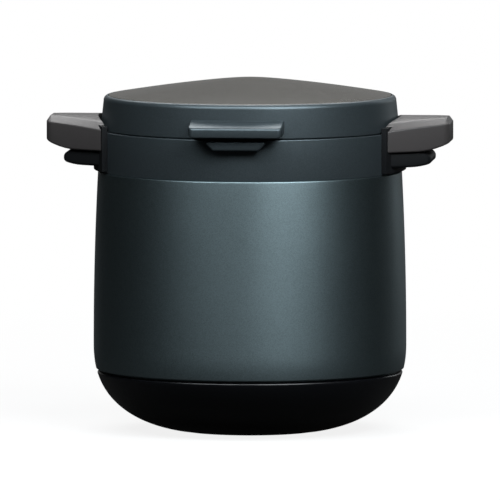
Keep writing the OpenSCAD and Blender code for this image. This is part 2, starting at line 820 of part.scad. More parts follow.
module lid_liner() {
  skirt_in_r = lid_skirt_r - pan_t;
  flange_r = lid_r(flange_z) - lid_wall - foam_gap;
  color("#5a5e61") revolve([
    [0, pan_z + pan_crown],
    [pan_middle_d / 2, pan_z + pan_crown],
    [pan_flat_r, pan_z],
    [skirt_in_r, pan_z],
    [skirt_in_r, lid_z - skirt_drop],
    [lid_skirt_r, lid_z - skirt_drop],
    [lid_skirt_r, flange_z],
    [flange_r, flange_z],
    [flange_r - flange_t * lid_draft, flange_z + flange_t],
    [lid_skirt_r, flange_z + flange_t],
    [lid_skirt_r, pan_z + pan_t],
    [pan_flat_r, pan_z + pan_t],
    [pan_middle_d / 2, pan_z + pan_t + pan_crown],
    [0, pan_z + pan_t + pan_crown]
  ]);
}

module lid_gasket() {
  color("#8b8e90") ring(lid_r(flange_z) - lid_wall - foam_gap, lid_skirt_r + gasket_fit, gasket_z, gasket_h);
}

module lid_tab() {
  half = tab_w / 2;
  corner_y = tab_reach - tab_corner_r;
  plan = concat(
    [[-half, 0]],
    arc([-half + tab_corner_r, -corner_y], tab_corner_r, 180, 270),
    arc([half - tab_corner_r, -corner_y], tab_corner_r, 270, 360),
    [[half, 0]]
  );
  color("#2d353a") difference() {
    intersection() {
      translate([0, 0, tab_z]) linear_extrude(tab_root_h) polygon(plan);
      side_view(-tab_w, tab_w, [
        [-tab_reach, tab_z],
        [-tab_reach, tab_z + tab_face_h],
        [-lid_bottom_r, tab_z + tab_root_h],
        [0, tab_z + tab_root_h],
        [0, tab_z]
      ]);
    }
    side_view(-half + tab_wall, half - tab_wall, [
      [-tab_reach + tab_wall, tab_z - over],
      [-tab_reach + tab_wall, tab_z + tab_face_h - tab_wall],
      [-lid_bottom_r - tab_wall, tab_z + tab_face_h - tab_wall],
      [-lid_bottom_r - tab_wall, tab_z - over]
    ]);
    lid_cone();
    lid_screw_places() screw_hole(lid_screw_l);
  }
}

module lid_hinge_arm() {
  color("#1d2124") difference() {
    union() {
      intersection() {
        translate([-arm_half, 0, arm_z]) cube([arm_w, far, arm_plate_h]);
        lid_cone(arm_plate_t);
      }
      side_view(-arm_half, arm_half, [
        [0, arm_z],
        [hinge_y, arm_z],
        [hinge_y, hinge_z + barrel_r],
        [0, hinge_z + barrel_r]
      ]);
      barrel(-arm_half, arm_half, barrel_r);
    }
    lid_cone();
    barrel(-hinge_half, hinge_half, pin_r + pin_play);
    lid_screw_places() screw_hole(lid_screw_l);
  }
}

module lid_screws() {
  color("#8d9196") lid_screw_places() screw(lid_screw_l);
}

module pot_body() {
  corner = [pot_r - pot_corner_r, pot_z + pot_corner_r];
  color("#cfd2d5") revolve(concat(
    [[0, pot_z]],
    arc(corner, pot_corner_r, -90, 0),
    [
      [pot_r, step_z - pot_wall],
      [pot_mouth_r, step_z - pot_wall],
      [pot_mouth_r, flange_seat_z],
      [pot_flange_r, flange_seat_z],
      [pot_flange_r, flange_top_z],
      [pot_mouth_r - pot_wall, flange_top_z],
      [pot_mouth_r - pot_wall, step_z],
      [pot_r - pot_wall, step_z]
    ],
    arc(corner, pot_corner_r - pot_wall, 0, -90),
    [[0, pot_z + pot_wall]]
  ));
}

module pot_base_core() {
  color("#a9adb1") translate([0, 0, core_z]) cylinder(d = core_d, h = core_t);
}

module pot_base_cap() {
  color("#c8cbce") difference() {
    translate([0, 0, cap_z]) cylinder(d = core_d + 2 * cap_t, h = core_t + cap_t);
    translate([0, 0, core_z]) cylinder(d = core_d, h = core_t + over);
  }
}

module bail_ears() {
  color("#b5b9bd") for (side = [0, 1]) mirror([side, 0, 0]) difference() {
    union() {
      translate([bail_ear_x, -bail_ear_w / 2, flange_top_z])
        cube([bail_ear_t, bail_ear_w, bail_z - flange_top_z]);
      translate([bail_ear_x, 0, bail_z]) rotate([0, 90, 0]) cylinder(d = bail_ear_w, h = bail_ear_t);
    }
    translate([bail_ear_x - over, -bail_ear_w, flange_top_z - bail_ear_w])
      cube([bail_ear_t + 2 * over, 2 * bail_ear_w, bail_ear_w]);
    translate([bail_ear_x - over, 0, bail_z]) rotate([0, 90, 0])
      cylinder(r = bail_wire_r + bail_play, h = bail_ear_t + 2 * over);
  }
}

module pot_bail() {
  color("#c5c8cb") {
    translate([0, 0, bail_z]) rotate_extrude(angle = 180) translate([bail_r, 0]) circle(r = bail_wire_r);
    for (side = [0, 1]) mirror([side, 0, 0]) {
      translate([bail_r, 0, bail_z]) sphere(r = bail_wire_r);
      translate([bail_ear_x, 0, bail_z]) rotate([0, 90, 0])
        cylinder(r = bail_wire_r, h = bail_r - bail_ear_x);
    }
  }
}

// Ball whose cap is the upper face of the domed glass, less a depth
module glass_ball(depth) {
  translate([0, 0, glass_top_z - glass_radius]) sphere(r = glass_radius - depth, $fn = 180);
}

// Domed disc of glass, grown all round by a fit
module glass_blank(fit) {
  difference() {
    intersection() {
      translate([0, 0, pot_lid_z]) cylinder(r = glass_r + fit, h = glass_top_z - pot_lid_z + fit);
      glass_ball(-fit);
    }
    glass_ball(glass_t + fit);
  }
}

module pot_lid_glass() {
  hole_h = glass_top_z - pot_lid_z + over;
  color("#c9dadb", 0.5) difference() {
    glass_blank(0);
    translate([0, 0, pot_lid_z]) cylinder(d = knob_screw_d + 2 * screw_fit, h = hole_h);
    translate([0, vent_y, pot_lid_z]) cylinder(d = vent_d, h = hole_h);
  }
}

module pot_lid_rim() {
  color("#b7babd") difference() {
    ring(pot_lid_r, pot_lid_r - lid_ring_w, pot_lid_z, lid_ring_h);
    glass_blank(glass_fit);
  }
}

module pot_lid_knob() {
  color("#17181a") difference() {
    revolve([
      [0, knob_z],
      [knob_neck_d / 2, knob_z],
      [knob_neck_d / 2 - knob_waist, knob_z + knob_neck_h],
      [knob_d / 2, knob_edge_z - knob_grip_h],
      [knob_d / 2, knob_edge_z],
      [knob_d / 2 - knob_edge, knob_z + knob_h],
      [0, knob_z + knob_h]
    ]);
    translate([0, 0, knob_z - over])
      cylinder(d = knob_screw_d + 2 * screw_fit, h = knob_screw_in + screw_fit + over);
  }
}

module knob_screw() {
  low_z = washer_top_z - washer_t;
  color("#9a9ea2") translate([0, 0, low_z]) {
    cylinder(d = knob_screw_d, h = knob_z + knob_screw_in - low_z);
    translate([0, 0, -knob_head_h]) cylinder(d = knob_head_d, h = knob_head_h);
  }
}

module knob_washers() {
  color("#3a3c3e") for (z = [washer_top_z - washer_t, glass_top_z])
    ring(washer_d / 2, knob_screw_d / 2 + screw_fit, z, washer_t);
}

module vent_grommet() {
  flange_r = vent_d / 2 + vent_flange;
  inner_y = vent_y - flange_r;
  top_z = glass_top_z - glass_radius + sqrt(glass_radius * glass_radius - inner_y * inner_y);
  tube_r = vent_d / 2 - screw_fit;
  color("#b4b8bc") translate([0, vent_y, 0]) {
    ring(tube_r, tube_r - vent_t, top_z - glass_t - vent_t, glass_t + vent_t);
    ring(flange_r, tube_r - vent_t, top_z, vent_t);
  }
}

outer_shell();
shell_floor();
vacuum_seal();
inner_liner();
base_cover();
base_studs();
base_screws();
foot_ring();
collar();
collar_seal();
collar_lip();
collar_screws();
handle_bracket_left();
handle_bracket_right();
handle_cover_left();
handle_cover_right();
handle_screws();
hinge_bracket();
hinge_pin();
lid_shell();
lid_top_plate();
lid_foam();
lid_liner();
lid_gasket();
lid_tab();
lid_hinge_arm();
lid_screws();
pot_body();
pot_base_core();
pot_base_cap();
bail_ears();
pot_bail();
pot_lid_glass();
pot_lid_rim();
pot_lid_knob();
knob_screw();
knob_washers();
vent_grommet();
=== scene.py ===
import math

import bmesh
import bpy
from mathutils import Matrix, Vector


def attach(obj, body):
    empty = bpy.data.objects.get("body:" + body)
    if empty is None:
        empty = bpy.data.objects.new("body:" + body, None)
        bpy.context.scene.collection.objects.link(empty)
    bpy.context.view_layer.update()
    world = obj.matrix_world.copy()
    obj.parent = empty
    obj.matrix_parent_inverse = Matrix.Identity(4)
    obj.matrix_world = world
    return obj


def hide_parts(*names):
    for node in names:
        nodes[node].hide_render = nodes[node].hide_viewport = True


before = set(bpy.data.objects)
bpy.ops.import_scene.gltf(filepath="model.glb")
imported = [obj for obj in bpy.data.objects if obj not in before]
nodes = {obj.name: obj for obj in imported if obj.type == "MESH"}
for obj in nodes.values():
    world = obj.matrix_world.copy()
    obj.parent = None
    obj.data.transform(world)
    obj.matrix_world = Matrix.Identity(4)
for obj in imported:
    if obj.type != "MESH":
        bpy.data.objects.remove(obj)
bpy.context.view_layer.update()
scene = bpy.context.scene
mm = 0.001  # sizes of pieces are in millimetres, those of the stage and the lamps in metres
print("frame loaded:", len(nodes), "nodes")

camera = {
    "azimuth": 5.2, "elevation": 4.7, "distance": 12000, "aimZ": 146.1, "lens": 1062.7, "sensor": 36,
}


def direction(azimuth, elevation):
    # from the part's front, to the right and upwards
    az, el = math.radians(azimuth), math.radians(elevation)
    return Vector((math.sin(az) * math.cos(el), -math.cos(az) * math.cos(el), math.sin(el)))


def placeCamera(c):
    aim = Vector((0, 0, c["aimZ"]))
    eye = aim + direction(c["azimuth"], c["elevation"]) * c["distance"]
    data = bpy.data.cameras.new("camera")
    data.lens = c["lens"]
    data.sensor_width = c["sensor"]
    obj = bpy.data.objects.new("camera", data)
    obj.location = eye * mm
    obj.rotation_euler = (aim - eye).to_track_quat("-Z", "Y").to_euler()
    scene.collection.objects.link(obj)
    scene.camera = obj


placeCamera(camera)
print("camera placed")


class Wire:
    # one socket; sums and products of wires add Math nodes
    def __init__(self, shop, socket):
        self.shop = shop
        self.socket = socket

    def math(self, operation, *values):
        return self.shop.node("Math", {"operation": operation}, dict(enumerate(values)))

    def __add__(self, other):
        return self.math("ADD", self, other)

    def __radd__(self, other):
        return self.math("ADD", other, self)

    def __sub__(self, other):
        return self.math("SUBTRACT", self, other)

    def __rsub__(self, other):
        return self.math("SUBTRACT", other, self)

    def __mul__(self, other):
        return self.math("MULTIPLY", self, other)

    def __rmul__(self, other):
        return self.math("MULTIPLY", other, self)

    def __truediv__(self, other):
        return self.math("DIVIDE", self, other)

    def __rtruediv__(self, other):
        return self.math("DIVIDE", other, self)

    def __pow__(self, other):
        return self.math("POWER", self, other)

    def __rpow__(self, other):
        return self.math("POWER", other, self)

    def clip(self, low, high):
        # share of the way from low to high, held between 0 and 1
        return self.shop.node("MapRange", {"clamp": True}, {"Value": self, "From Min": low, "From Max": high})


class Shop:
    # makes the nodes of one material, floor or sky
    def __init__(self, tree):
        self.tree = tree
        tree.nodes.clear()

    def node(self, kind, settings=None, sockets=None, out=0):
        made = self.tree.nodes.new("ShaderNode" + kind)
        for key, value in (settings or {}).items():
            setattr(made, key, value)
        self.plug(made, sockets or {})
        return Wire(self, made.outputs[out]) if made.outputs else None

    def plug(self, made, sockets):
        for key, value in sockets.items():
            if isinstance(value, Wire):
                self.tree.links.new(value.socket, made.inputs[key])
            else:
                made.inputs[key].default_value = value

    def feed(self, **wires):
        # what changes over the surface, into the finish's shader
        self.plug(self.shader, {key.replace("_", " "): wire for key, wire in wires.items()})

    def blend(self, share, one, two):
        return self.node("Mix", {"data_type": "RGBA"}, {0: share, 6: rgba(one), 7: rgba(two)}, out=2)

    def noise(self, where, scale, detail=2.0, rough=0.5):
        return self.node("TexNoise", {}, {"Vector": where, "Scale": scale, "Detail": detail, "Roughness": rough})

    def rays(self):
        # seen directly or through glass, and seen as a reflection
        camera, glossy, through = [
            self.node("LightPath", out="Is %s Ray" % kind) for kind in ("Camera", "Glossy", "Transmission")]
        return (camera + through).clip(0, 1), glossy


def rgba(colour):
    if isinstance(colour, Wire) or len(colour) == 4:
        return colour
    return tuple(colour) + (1,)


def newFinish(name, fixed):
    material = bpy.data.materials.new(name)
    material.use_nodes = True
    shop = Shop(material.node_tree)
    surface = shop.node("BsdfPrincipled", {}, fixed)
    shop.node("OutputMaterial", {}, {"Surface": surface})
    shop.shader = surface.socket.node
    shop.place = shop.node("TexCoord", out="Object")
    return material, shop


def bump(shop, height, strength, distance):
    return shop.node("Bump", {}, {"Strength": strength, "Distance": distance * mm, "Height": height})


texture = {  # scales per metre, depths in millimetres
    "cloud": 9, "pits": 0.6, "grainDepth": 0.12,  # moulded plastic; pits are a share of its grain's scale
    "paintCloud": 14, "peel": 260, "peelDepth": 0.1,
    "smear": 22, "smearRough": 0.08, "brushDepth": 0.05,  # steel
    "bloom": 40, "bloomRough": 0.2, "pores": 1500, "poreDepth": 0.1,  # rubber
    "foamTone": 30, "foamRough": 0.85, "foamUneven": 0.15, "cellDepth": 0.5,
    "wipe": 35, "glassRough": 0.015,
}


def mouldedPlastic(name, look):
    # moulded plastic: cloudy shade, fine spark-eroded grain, uneven gloss
    material, shop = newFinish(name, {"Specular IOR Level": look["specular"]})
    cloud = shop.noise(shop.place, texture["cloud"], 3)
    grain = shop.noise(shop.place, look["grainScale"], 2, 0.6)
    pits = shop.node("TexVoronoi", {}, {"Vector": shop.place, "Scale": look["grainScale"] * texture["pits"]})
    shade = (cloud * 0.7 + grain * 0.3).clip(0.3, 0.7)
    shop.feed(
        Base_Color=shop.blend(shade, look["dark"], look["pale"]),
        Roughness=look["roughness"] + (grain - 0.5) * look["uneven"] + (cloud - 0.5) * look["uneven"],
        Normal=bump(shop, grain * 0.6 + pits * 0.4, look["grain"], texture["grainDepth"]),
    )
    return material


def metallicPaint(name, look):
    # sprayed satin paint: flakes of uneven tilt in a dark binder, over a soft orange peel
    # drawn: how much rougher it is up and down than round the body
    material, shop = newFinish(name, {
        "Specular IOR Level": look["specular"], "Metallic": look["metal"],
        "Anisotropic": look["drawn"], "Anisotropic Rotation": 0.25})
    flake = shop.node("TexVoronoi", {}, {"Vector": shop.place, "Scale": look["flakeScale"]}, out="Color")
    tilt = shop.node("SeparateColor", {}, {0: flake})
    peel = shop.noise(shop.place, texture["peel"], 2)
    cloud = shop.noise(shop.place, texture["paintCloud"], 3)
    shade = (tilt * 0.55 + cloud * 0.45).clip(0.2, 0.8)
    shop.feed(
        Base_Color=shop.blend(shade, look["dark"], look["pale"]),
        Roughness=look["roughness"] + (tilt - 0.5) * look["uneven"],
        Normal=bump(shop, peel + tilt * 0.25, look["peel"], texture["peelDepth"]),
    )
    return material


def turnedSteel(name, look):
    # steel with fine lines that run round the axis
    material, shop = newFinish(name, {"Metallic": 1.0})
    xyz = [shop.node("SeparateXYZ", {}, {0: shop.place}, out=i) for i in range(3)]
    radius = (xyz[0] * xyz[0] + xyz[1] * xyz[1] + 1e-8) ** 0.5
    across = (radius * 1.1 + xyz[2]) * look["lines"]
    where = shop.node("CombineXYZ", {}, {0: xyz[0] / radius * 1.4, 1: xyz[1] / radius * 1.4, 2: across})
    line = shop.noise(where, 1.0, 3, 0.7)
    smear = shop.noise(shop.place, texture["smear"], 3)
    shade = (line * 0.6 + smear * 0.4).clip(0.25, 0.75)
    shop.feed(
        Base_Color=shop.blend(shade, look["dark"], look["pale"]),
        Roughness=look["roughness"] + (line - 0.5) * look["uneven"] + (smear - 0.5) * texture["smearRough"],
        Normal=bump(shop, line, look["brush"], texture["brushDepth"]),
    )
    return material


def softRubber(name, look):
    # matt rubber or silicone with a pale bloom and fine pores
    material, shop = newFinish(name, {"Specular IOR Level": 0.3})
    bloom = shop.noise(shop.place, texture["bloom"], 4, 0.6)
    pore = shop.noise(shop.place, texture["pores"], 2)
    shop.feed(
        Base_Color=shop.blend(bloom.clip(0.35, 0.7), look["dark"], look["pale"]),
        Roughness=look["roughness"] + (bloom - 0.5) * texture["bloomRough"],
        Normal=bump(shop, pore, look["grain"], texture["poreDepth"]),
    )
    return material


def cellFoam(name, look):
    # cut foam with open cells
    material, shop = newFinish(name, {"Specular IOR Level": 0.2})
    cell = shop.node("TexVoronoi", {}, {"Vector": shop.place, "Scale": look["cells"]})
    tone = shop.noise(shop.place, texture["foamTone"], 3)
    shop.feed(
        Base_Color=shop.blend((cell * 0.7 + tone * 0.4).clip(0.1, 0.9), look["dark"], look["pale"]),
        Roughness=texture["foamRough"] + (tone - 0.5) * texture["foamUneven"],
        Normal=bump(shop, cell, look["grain"], texture["cellDepth"]),
    )
    return material


def clearGlass(name, look):
    # toughened glass, faintly green, with a trace of wiping marks
    material, shop = newFinish(name, {"Transmission Weight": 1.0, "IOR": 1.5, "Base Color": rgba(look["tint"])})
    wipe = shop.noise(shop.place, texture["wipe"], 4, 0.6)
    shop.feed(Roughness=wipe.clip(0.45, 0.9) * look["smear"] + texture["glassRough"])
    return material


graphite = {
    "dark": (0.062, 0.078, 0.087), "pale": (0.078, 0.098, 0.109), "metal": 0.75, "specular": 0.4,
    "roughness": 0.42, "uneven": 0.06, "flakeScale": 1800, "peel": 0.05, "drawn": 0.0,
}
finishes = {
    "bodyPaint": metallicPaint("bodyPaint", {
        "dark": (0.162, 0.21, 0.226), "pale": (0.22, 0.285, 0.306), "metal": 1.0, "specular": 0.3,
        "roughness": 0.44, "uneven": 0.05, "flakeScale": 2200, "peel": 0.03, "drawn": 0.45}),
    "baseGloss": mouldedPlastic("baseGloss", {
        "dark": (0.0022, 0.0024, 0.0034), "pale": (0.0032, 0.0035, 0.0046), "specular": 0.4,
        "roughness": 0.3, "uneven": 0.06, "grainScale": 500, "grain": 0.01}),
    "collarGraphite": metallicPaint("collarGraphite", graphite),
    "lidGraphite": metallicPaint("lidGraphite", graphite),
    "topTaupe": mouldedPlastic("topTaupe", {
        "dark": (0.024, 0.022, 0.017), "pale": (0.03, 0.027, 0.021), "specular": 0.5,
        "roughness": 0.25, "uneven": 0.05, "grainScale": 900, "grain": 0.006}),
    "handleTaupe": mouldedPlastic("handleTaupe", {
        "dark": (0.041, 0.037, 0.037), "pale": (0.051, 0.046, 0.046), "specular": 0.5,
        "roughness": 0.42, "uneven": 0.08, "grainScale": 1500, "grain": 0.12}),
    "bracketBlack": mouldedPlastic("bracketBlack", {
        "dark": (0.0045, 0.005, 0.0058), "pale": (0.007, 0.0076, 0.0086), "specular": 0.2,
        "roughness": 0.55, "uneven": 0.08, "grainScale": 1500, "grain": 0.16}),
    "panGrey": mouldedPlastic("panGrey", {
        "dark": (0.115, 0.122, 0.128), "pale": (0.14, 0.148, 0.155), "specular": 0.5,
        "roughness": 0.42, "uneven": 0.08, "grainScale": 1200, "grain": 0.08}),
    "knobBlack": mouldedPlastic("knobBlack", {
        "dark": (0.012, 0.012, 0.013), "pale": (0.018, 0.018, 0.02), "specular": 0.5,
        "roughness": 0.4, "uneven": 0.08, "grainScale": 1300, "grain": 0.12}),
    "vesselSteel": turnedSteel("vesselSteel", {
        "dark": (0.5, 0.51, 0.52), "pale": (0.66, 0.67, 0.68), "roughness": 0.32, "uneven": 0.14,
        "lines": 1500, "brush": 0.12}),
    "potSteel": turnedSteel("potSteel", {
        "dark": (0.56, 0.57, 0.58), "pale": (0.72, 0.73, 0.74), "roughness": 0.24, "uneven": 0.16,
        "lines": 2200, "brush": 0.1}),
    "potAluminium": turnedSteel("potAluminium", {
        "dark": (0.52, 0.53, 0.54), "pale": (0.64, 0.65, 0.66), "roughness": 0.42, "uneven": 0.12,
        "lines": 900, "brush": 0.2}),
    "screwSteel": turnedSteel("screwSteel", {
        "dark": (0.4, 0.41, 0.42), "pale": (0.56, 0.57, 0.58), "roughness": 0.34, "uneven": 0.1,
        "lines": 3000, "brush": 0.1}),
    "footRubber": softRubber("footRubber", {
        "dark": (0.016, 0.016, 0.017), "pale": (0.03, 0.03, 0.032), "roughness": 0.78, "grain": 0.2}),
    "sealSilicone": softRubber("sealSilicone", {
        "dark": (0.2, 0.21, 0.215), "pale": (0.28, 0.29, 0.3), "roughness": 0.6, "grain": 0.08}),
    "lidFoam": cellFoam("lidFoam", {
        "dark": (0.62, 0.58, 0.48), "pale": (0.8, 0.77, 0.68), "cells": 700, "grain": 0.6}),
    "lidGlass": clearGlass("lidGlass", {"tint": (0.93, 0.975, 0.965), "smear": 0.05}),
}
print("finishes made:", len(finishes))


def rounded(points, steps=6):
    # (a, b) or (a, b, rounding) points with their corners rounded; an open line has none at its ends
    outline = []
    count = len(points)
    for i, point in enumerate(points):
        here = Vector(point[:2])
        radius = point[2] if len(point) > 2 else 0
        before = Vector(points[i - 1][:2]) - here
        after = Vector(points[(i + 1) % count][:2]) - here
        if radius <= 0 or before.length < 1e-6 or after.length < 1e-6:
            outline.append((here.x, here.y))
            continue
        half = before.angle(after) / 2
        reach = min(radius / math.tan(half), 0.499 * before.length, 0.499 * after.length)
        radius = reach * math.tan(half)
        centre = here + (before.normalized() + after.normalized()).normalized() * radius / math.sin(half)
        start = here + before.normalized() * reach - centre
        end = here + after.normalized() * reach - centre
        sweep = start.angle_signed(end)
        for k in range(steps + 1):
            turn = start.copy()
            turn.rotate(Matrix.Rotation(-sweep * k / steps, 2))
            outline.append(tuple(centre + turn))
    return outline


crease = 34  # degrees from which an edge looks sharp


def finishMesh(bm, name):
    bmesh.ops.remove_doubles(bm, verts=bm.verts, dist=1e-7)
    bmesh.ops.recalc_face_normals(bm, faces=bm.faces)
    mesh = bpy.data.meshes.new(name)
    bm.to_mesh(mesh)
    bm.free()
    smooth(mesh)
    obj = bpy.data.objects.new(name, mesh)
    scene.collection.objects.link(obj)
    return obj


def smooth(mesh):
    mesh.polygons.foreach_set("use_smooth", [True] * len(mesh.polygons))
    mesh.set_sharp_from_angle(angle=math.radians(crease))


def spin(name, outline, segments, centre=(0, 0)):
    # closed (r, z) outline turned round an upright axis
    bm = bmesh.new()
    rings = []
    for r, z in outline:
        turns = 1 if r < 1e-4 else segments
        ring = []
        for k in range(turns):
            a = 2 * math.pi * k / segments
            spot = centre[0] + r * math.cos(a), centre[1] + r * math.sin(a), z
            ring.append(bm.verts.new([along * mm for along in spot]))
        rings.append(ring)
    for low, high in zip(rings, rings[1:] + rings[:1]):
        if len(low) == 1 and len(high) == 1:
            continue
        for k in range(segments):
            corners = [low[k % len(low)], low[(k + 1) % len(low)], high[(k + 1) % len(high)], high[k % len(high)]]
            bm.faces.new(list(dict.fromkeys(corners)))  # a ring of one point makes triangles
    return finishMesh(bm, name)


def loft(name, rings, slices=()):
    # closed skin over rings of (x, y, z) points, cut through at some y so that its caps can follow a curve
    bm = bmesh.new()
    rows = [[bm.verts.new(Vector(p) * mm) for p in ring] for ring in rings]
    count = len(rows[0])
    for low, high in zip(rows, rows[1:]):
        for k in range(count):
            bm.faces.new((low[k], low[(k + 1) % count], high[(k + 1) % count], high[k]))
    bm.faces.new(rows[0])
    bm.faces.new(rows[-1])
    for y in slices:
        whole = bm.verts[:] + bm.edges[:] + bm.faces[:]
        bmesh.ops.bisect_plane(bm, geom=whole, plane_co=Vector((0, y, 0)) * mm, plane_no=(0, 1, 0))
    return finishMesh(bm, name)


def inset(outline, depth):
    # outline moved inwards by a depth; the outline runs anticlockwise
    moved = []
    count = len(outline)
    for i, point in enumerate(outline):
        here = Vector(point)
        before = (here - Vector(outline[i - 1])).normalized()
        after = (Vector(outline[(i + 1) % count]) - here).normalized()
        normals = Vector((-before.y, before.x)), Vector((-after.y, after.x))
        middle = (normals[0] + normals[1]).normalized()
        moved.append(tuple(here + middle * depth / max(0.3, middle.dot(normals[0]))))
    return moved


def quarterTurn(steps):
    return [math.pi / 2 * k / steps for k in range(steps + 1)]


def prism(name, outline, low, high, edge, axis="x", steps=4):
    # flat outline drawn out along an axis, with rounded end edges
    bends = [(edge * (1 - math.sin(q)), edge * (1 - math.cos(q))) for q in quarterTurn(steps)]
    rings = [(inset(outline, deep), low + along) for deep, along in bends]
    rings += [(inset(outline, deep), high - along) for deep, along in bends[::-1]]
    order = {"x": (2, 0, 1), "y": (0, 2, 1), "z": (0, 1, 2)}[axis]
    spots = [[(a, b, along) for a, b in row] for row, along in rings]
    return loft(name, [[tuple(spot[i] for i in order) for spot in row] for row in spots])


def carve(piece, tool, operation="DIFFERENCE"):
    # takes the tool away from the piece, or joins it on, in the piece's mesh
    cutter = piece.modifiers.new("carve", "BOOLEAN")
    cutter.object = tool
    cutter.operation = operation
    cutter.solver = "EXACT"
    graph = bpy.context.evaluated_depsgraph_get()
    mesh = bpy.data.meshes.new_from_object(piece.evaluated_get(graph))
    piece.modifiers.clear()
    old = piece.data
    piece.data = mesh
    bpy.data.meshes.remove(old)
    smooth(mesh)
    bpy.data.objects.remove(tool)


def rod(name, radius, low, high, spot, segments=40):
    return spin(name, [(0, low), (radius, low), (radius, high), (0, high)], segments, spot)


def joined(name, parts):
    bm = bmesh.new()
    for part in parts:
        bm.from_mesh(part.data)
        bpy.data.objects.remove(part)
    return finishMesh(bm, name)


def fit(piece, finish, slot, body, *replaced):
    piece.data.materials.clear()
    piece.data.materials.append(finishes[finish])
    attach(piece, body)
    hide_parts(*replaced)


def dressNode(name, finish):
    data = nodes[name].data
    data.materials.clear()
    data.materials.append(finishes[finish])


def arcPoints(centre, radius, first, last, steps):
    angles = [math.radians(first + (last - first) * k / steps) for k in range(steps + 1)]
    return [(centre[0] + radius * math.cos(a), centre[1] + radius * math.sin(a)) for a in angles]


vessel = {
    "flatR": 27, "fullness": 2.4, "cut": 1.8, "widestZ": 71, "widestR": 127.2, "barrel": 0.9,
    "seamZ": 48.3, "seamGap": 1.9, "seamLip": 0.35, "seamTop": 1, "topR": 123.6, "topZ": 211,
    "shoulder": 1.1, "neckR": 117.5, "neckZ": 233, "wall": 1.2, "inset": 3.3, "floorZ": 16,
    "crowding": 1.4,
}


def bowlR(z, w=0.0):
    # radius of the bowl curve at a height, moved inwards by w
    v = vessel
    c = ((v["widestZ"] - z) / (v["widestZ"] + v["cut"] - w)) ** (v["fullness"] / 2)
    return v["flatR"] + (v["widestR"] - v["flatR"] - w) * (1 - c * c) ** (1 / v["fullness"])


def bowl(z0, z1, w, steps):
    # closer together near the bottom, where the curve turns fast
    share = [(k / steps) ** vessel["crowding"] for k in range(steps + 1)]
    return [(bowlR(z0 + (z1 - z0) * s, w), z0 + (z1 - z0) * s) for s in share]


def buildShell(v):
    seam, lip = v["seamZ"] + v["seamGap"], v["seamLip"]
    wallTop = v["topZ"] - v["shoulder"]
    wall, steps = [], 24
    for k in range(1, steps + 1):
        s = k / steps
        r = v["widestR"] + (v["topR"] - v["widestR"]) * s + v["barrel"] * 4 * s * (1 - s)
        wall.append((r, v["widestZ"] + (wallTop - v["widestZ"]) * s))
    outer = bowl(v["floorZ"], seam, v["inset"], 10)
    outer += [(bowlR(seam) - lip, seam), (bowlR(seam + lip), seam + lip)]
    outer += bowl(seam + v["seamTop"], v["widestZ"], 0, 12)
    outer += wall + arcPoints((v["topR"] - v["shoulder"], wallTop), v["shoulder"], 0, 90, 8)[1:]
    outer += [(v["neckR"], v["topZ"]), (v["neckR"], v["neckZ"])]
    t = v["wall"]
    inner = [(v["neckR"] - t, v["neckZ"]), (v["neckR"] - t, v["topZ"] - t),
             (v["topR"] - v["shoulder"] - t, v["topZ"] - t)]
    inner += [(r - t, z) for r, z in wall[::-1]] + bowl(seam + t, v["widestZ"], t, 12)[::-1]
    inner += bowl(v["floorZ"], seam + t, v["inset"] + t, 10)[::-1]
    fit(spin("bodyShell", outer + inner, 256), "bodyPaint", "body_paint", "vessel", "outer_shell")


buildShell(vessel)

base = {
    "lift": 1.2, "wall": 3, "edge": 1.7, "grooveIn": 45.8, "grooveOut": 58.2, "grooveZ": 3.0, "grooveEdge": (0.4, 0.2),
    "screwCircle": 34, "screwTurns": (90, 210, 330), "screwLength": 9.6, "sinkR": 4.4, "sinkLow": 1, "sinkDepth": 0.7,
    "foot": [(46, 3.0), (46, 0.7, 0.6), (47, 0, 0.4), (49.2, 0, 0.3), (49.6, 0.9, 0.3), (50.4, 0.9, 0.3),
             (50.8, 0, 0.3), (53.2, 0, 0.3), (53.6, 0.9, 0.3), (54.4, 0.9, 0.3), (54.8, 0, 0.3), (57, 0, 0.4),
             (58, 0.7, 0.6), (58, 3.0)],
}


def screwSpots(b):
    turns = [math.radians(turn) for turn in b["screwTurns"]]
    return [(b["screwCircle"] * math.cos(a), b["screwCircle"] * math.sin(a)) for a in turns]


def buildBase(b):
    top, (mouth, root) = vessel["seamZ"], b["grooveEdge"]
    outer = bowl(b["lift"], top - b["edge"], 0, 40)
    rim = bowlR(top - b["edge"]), top - b["edge"]
    outline = rounded([(0, b["lift"]), (b["grooveIn"], b["lift"], mouth), (b["grooveIn"], b["grooveZ"], root),
                       (b["grooveOut"], b["grooveZ"], root), (b["grooveOut"], b["lift"], mouth)])
    outline += outer + arcPoints((rim[0] - b["edge"], rim[1]), b["edge"], 0, 90, 8)[1:]
    outline += bowl(b["lift"] + b["wall"], top, b["wall"], 30)[::-1] + [(0, b["lift"] + b["wall"])]
    cover = spin("baseBowl", outline, 256)
    for spot in screwSpots(b):
        carve(cover, rod("sink", b["sinkR"], b["lift"] - b["sinkLow"], b["lift"] + b["sinkDepth"], spot, 48))
    fit(cover, "baseGloss", "base_black", "vessel", "base_cover")
    fit(spin("footRing", rounded(b["foot"], 4), 160), "footRubber", "foot_rubber", "vessel", "foot_ring")


buildBase(base)

screwForm = {
    "headR": 3.8, "headH": 2.2, "rim": (0.1, 0.25), "rimEdge": 0.1, "dome": 0.25, "domeSteps": ((1.6, 0.8), (3.0, 0.3)),
    "shankR": 2.0, "threadFrom": 0.6, "threadEnd": 1.2, "threadDepth": 0.35, "pitch": 0.7, "point": 0.8,
    "slotW": 0.9, "slotL": 4.2, "slotDepth": 1.1, "slotEdge": 0.05, "seat": 0.3,  # seat: how far in the head sits
}


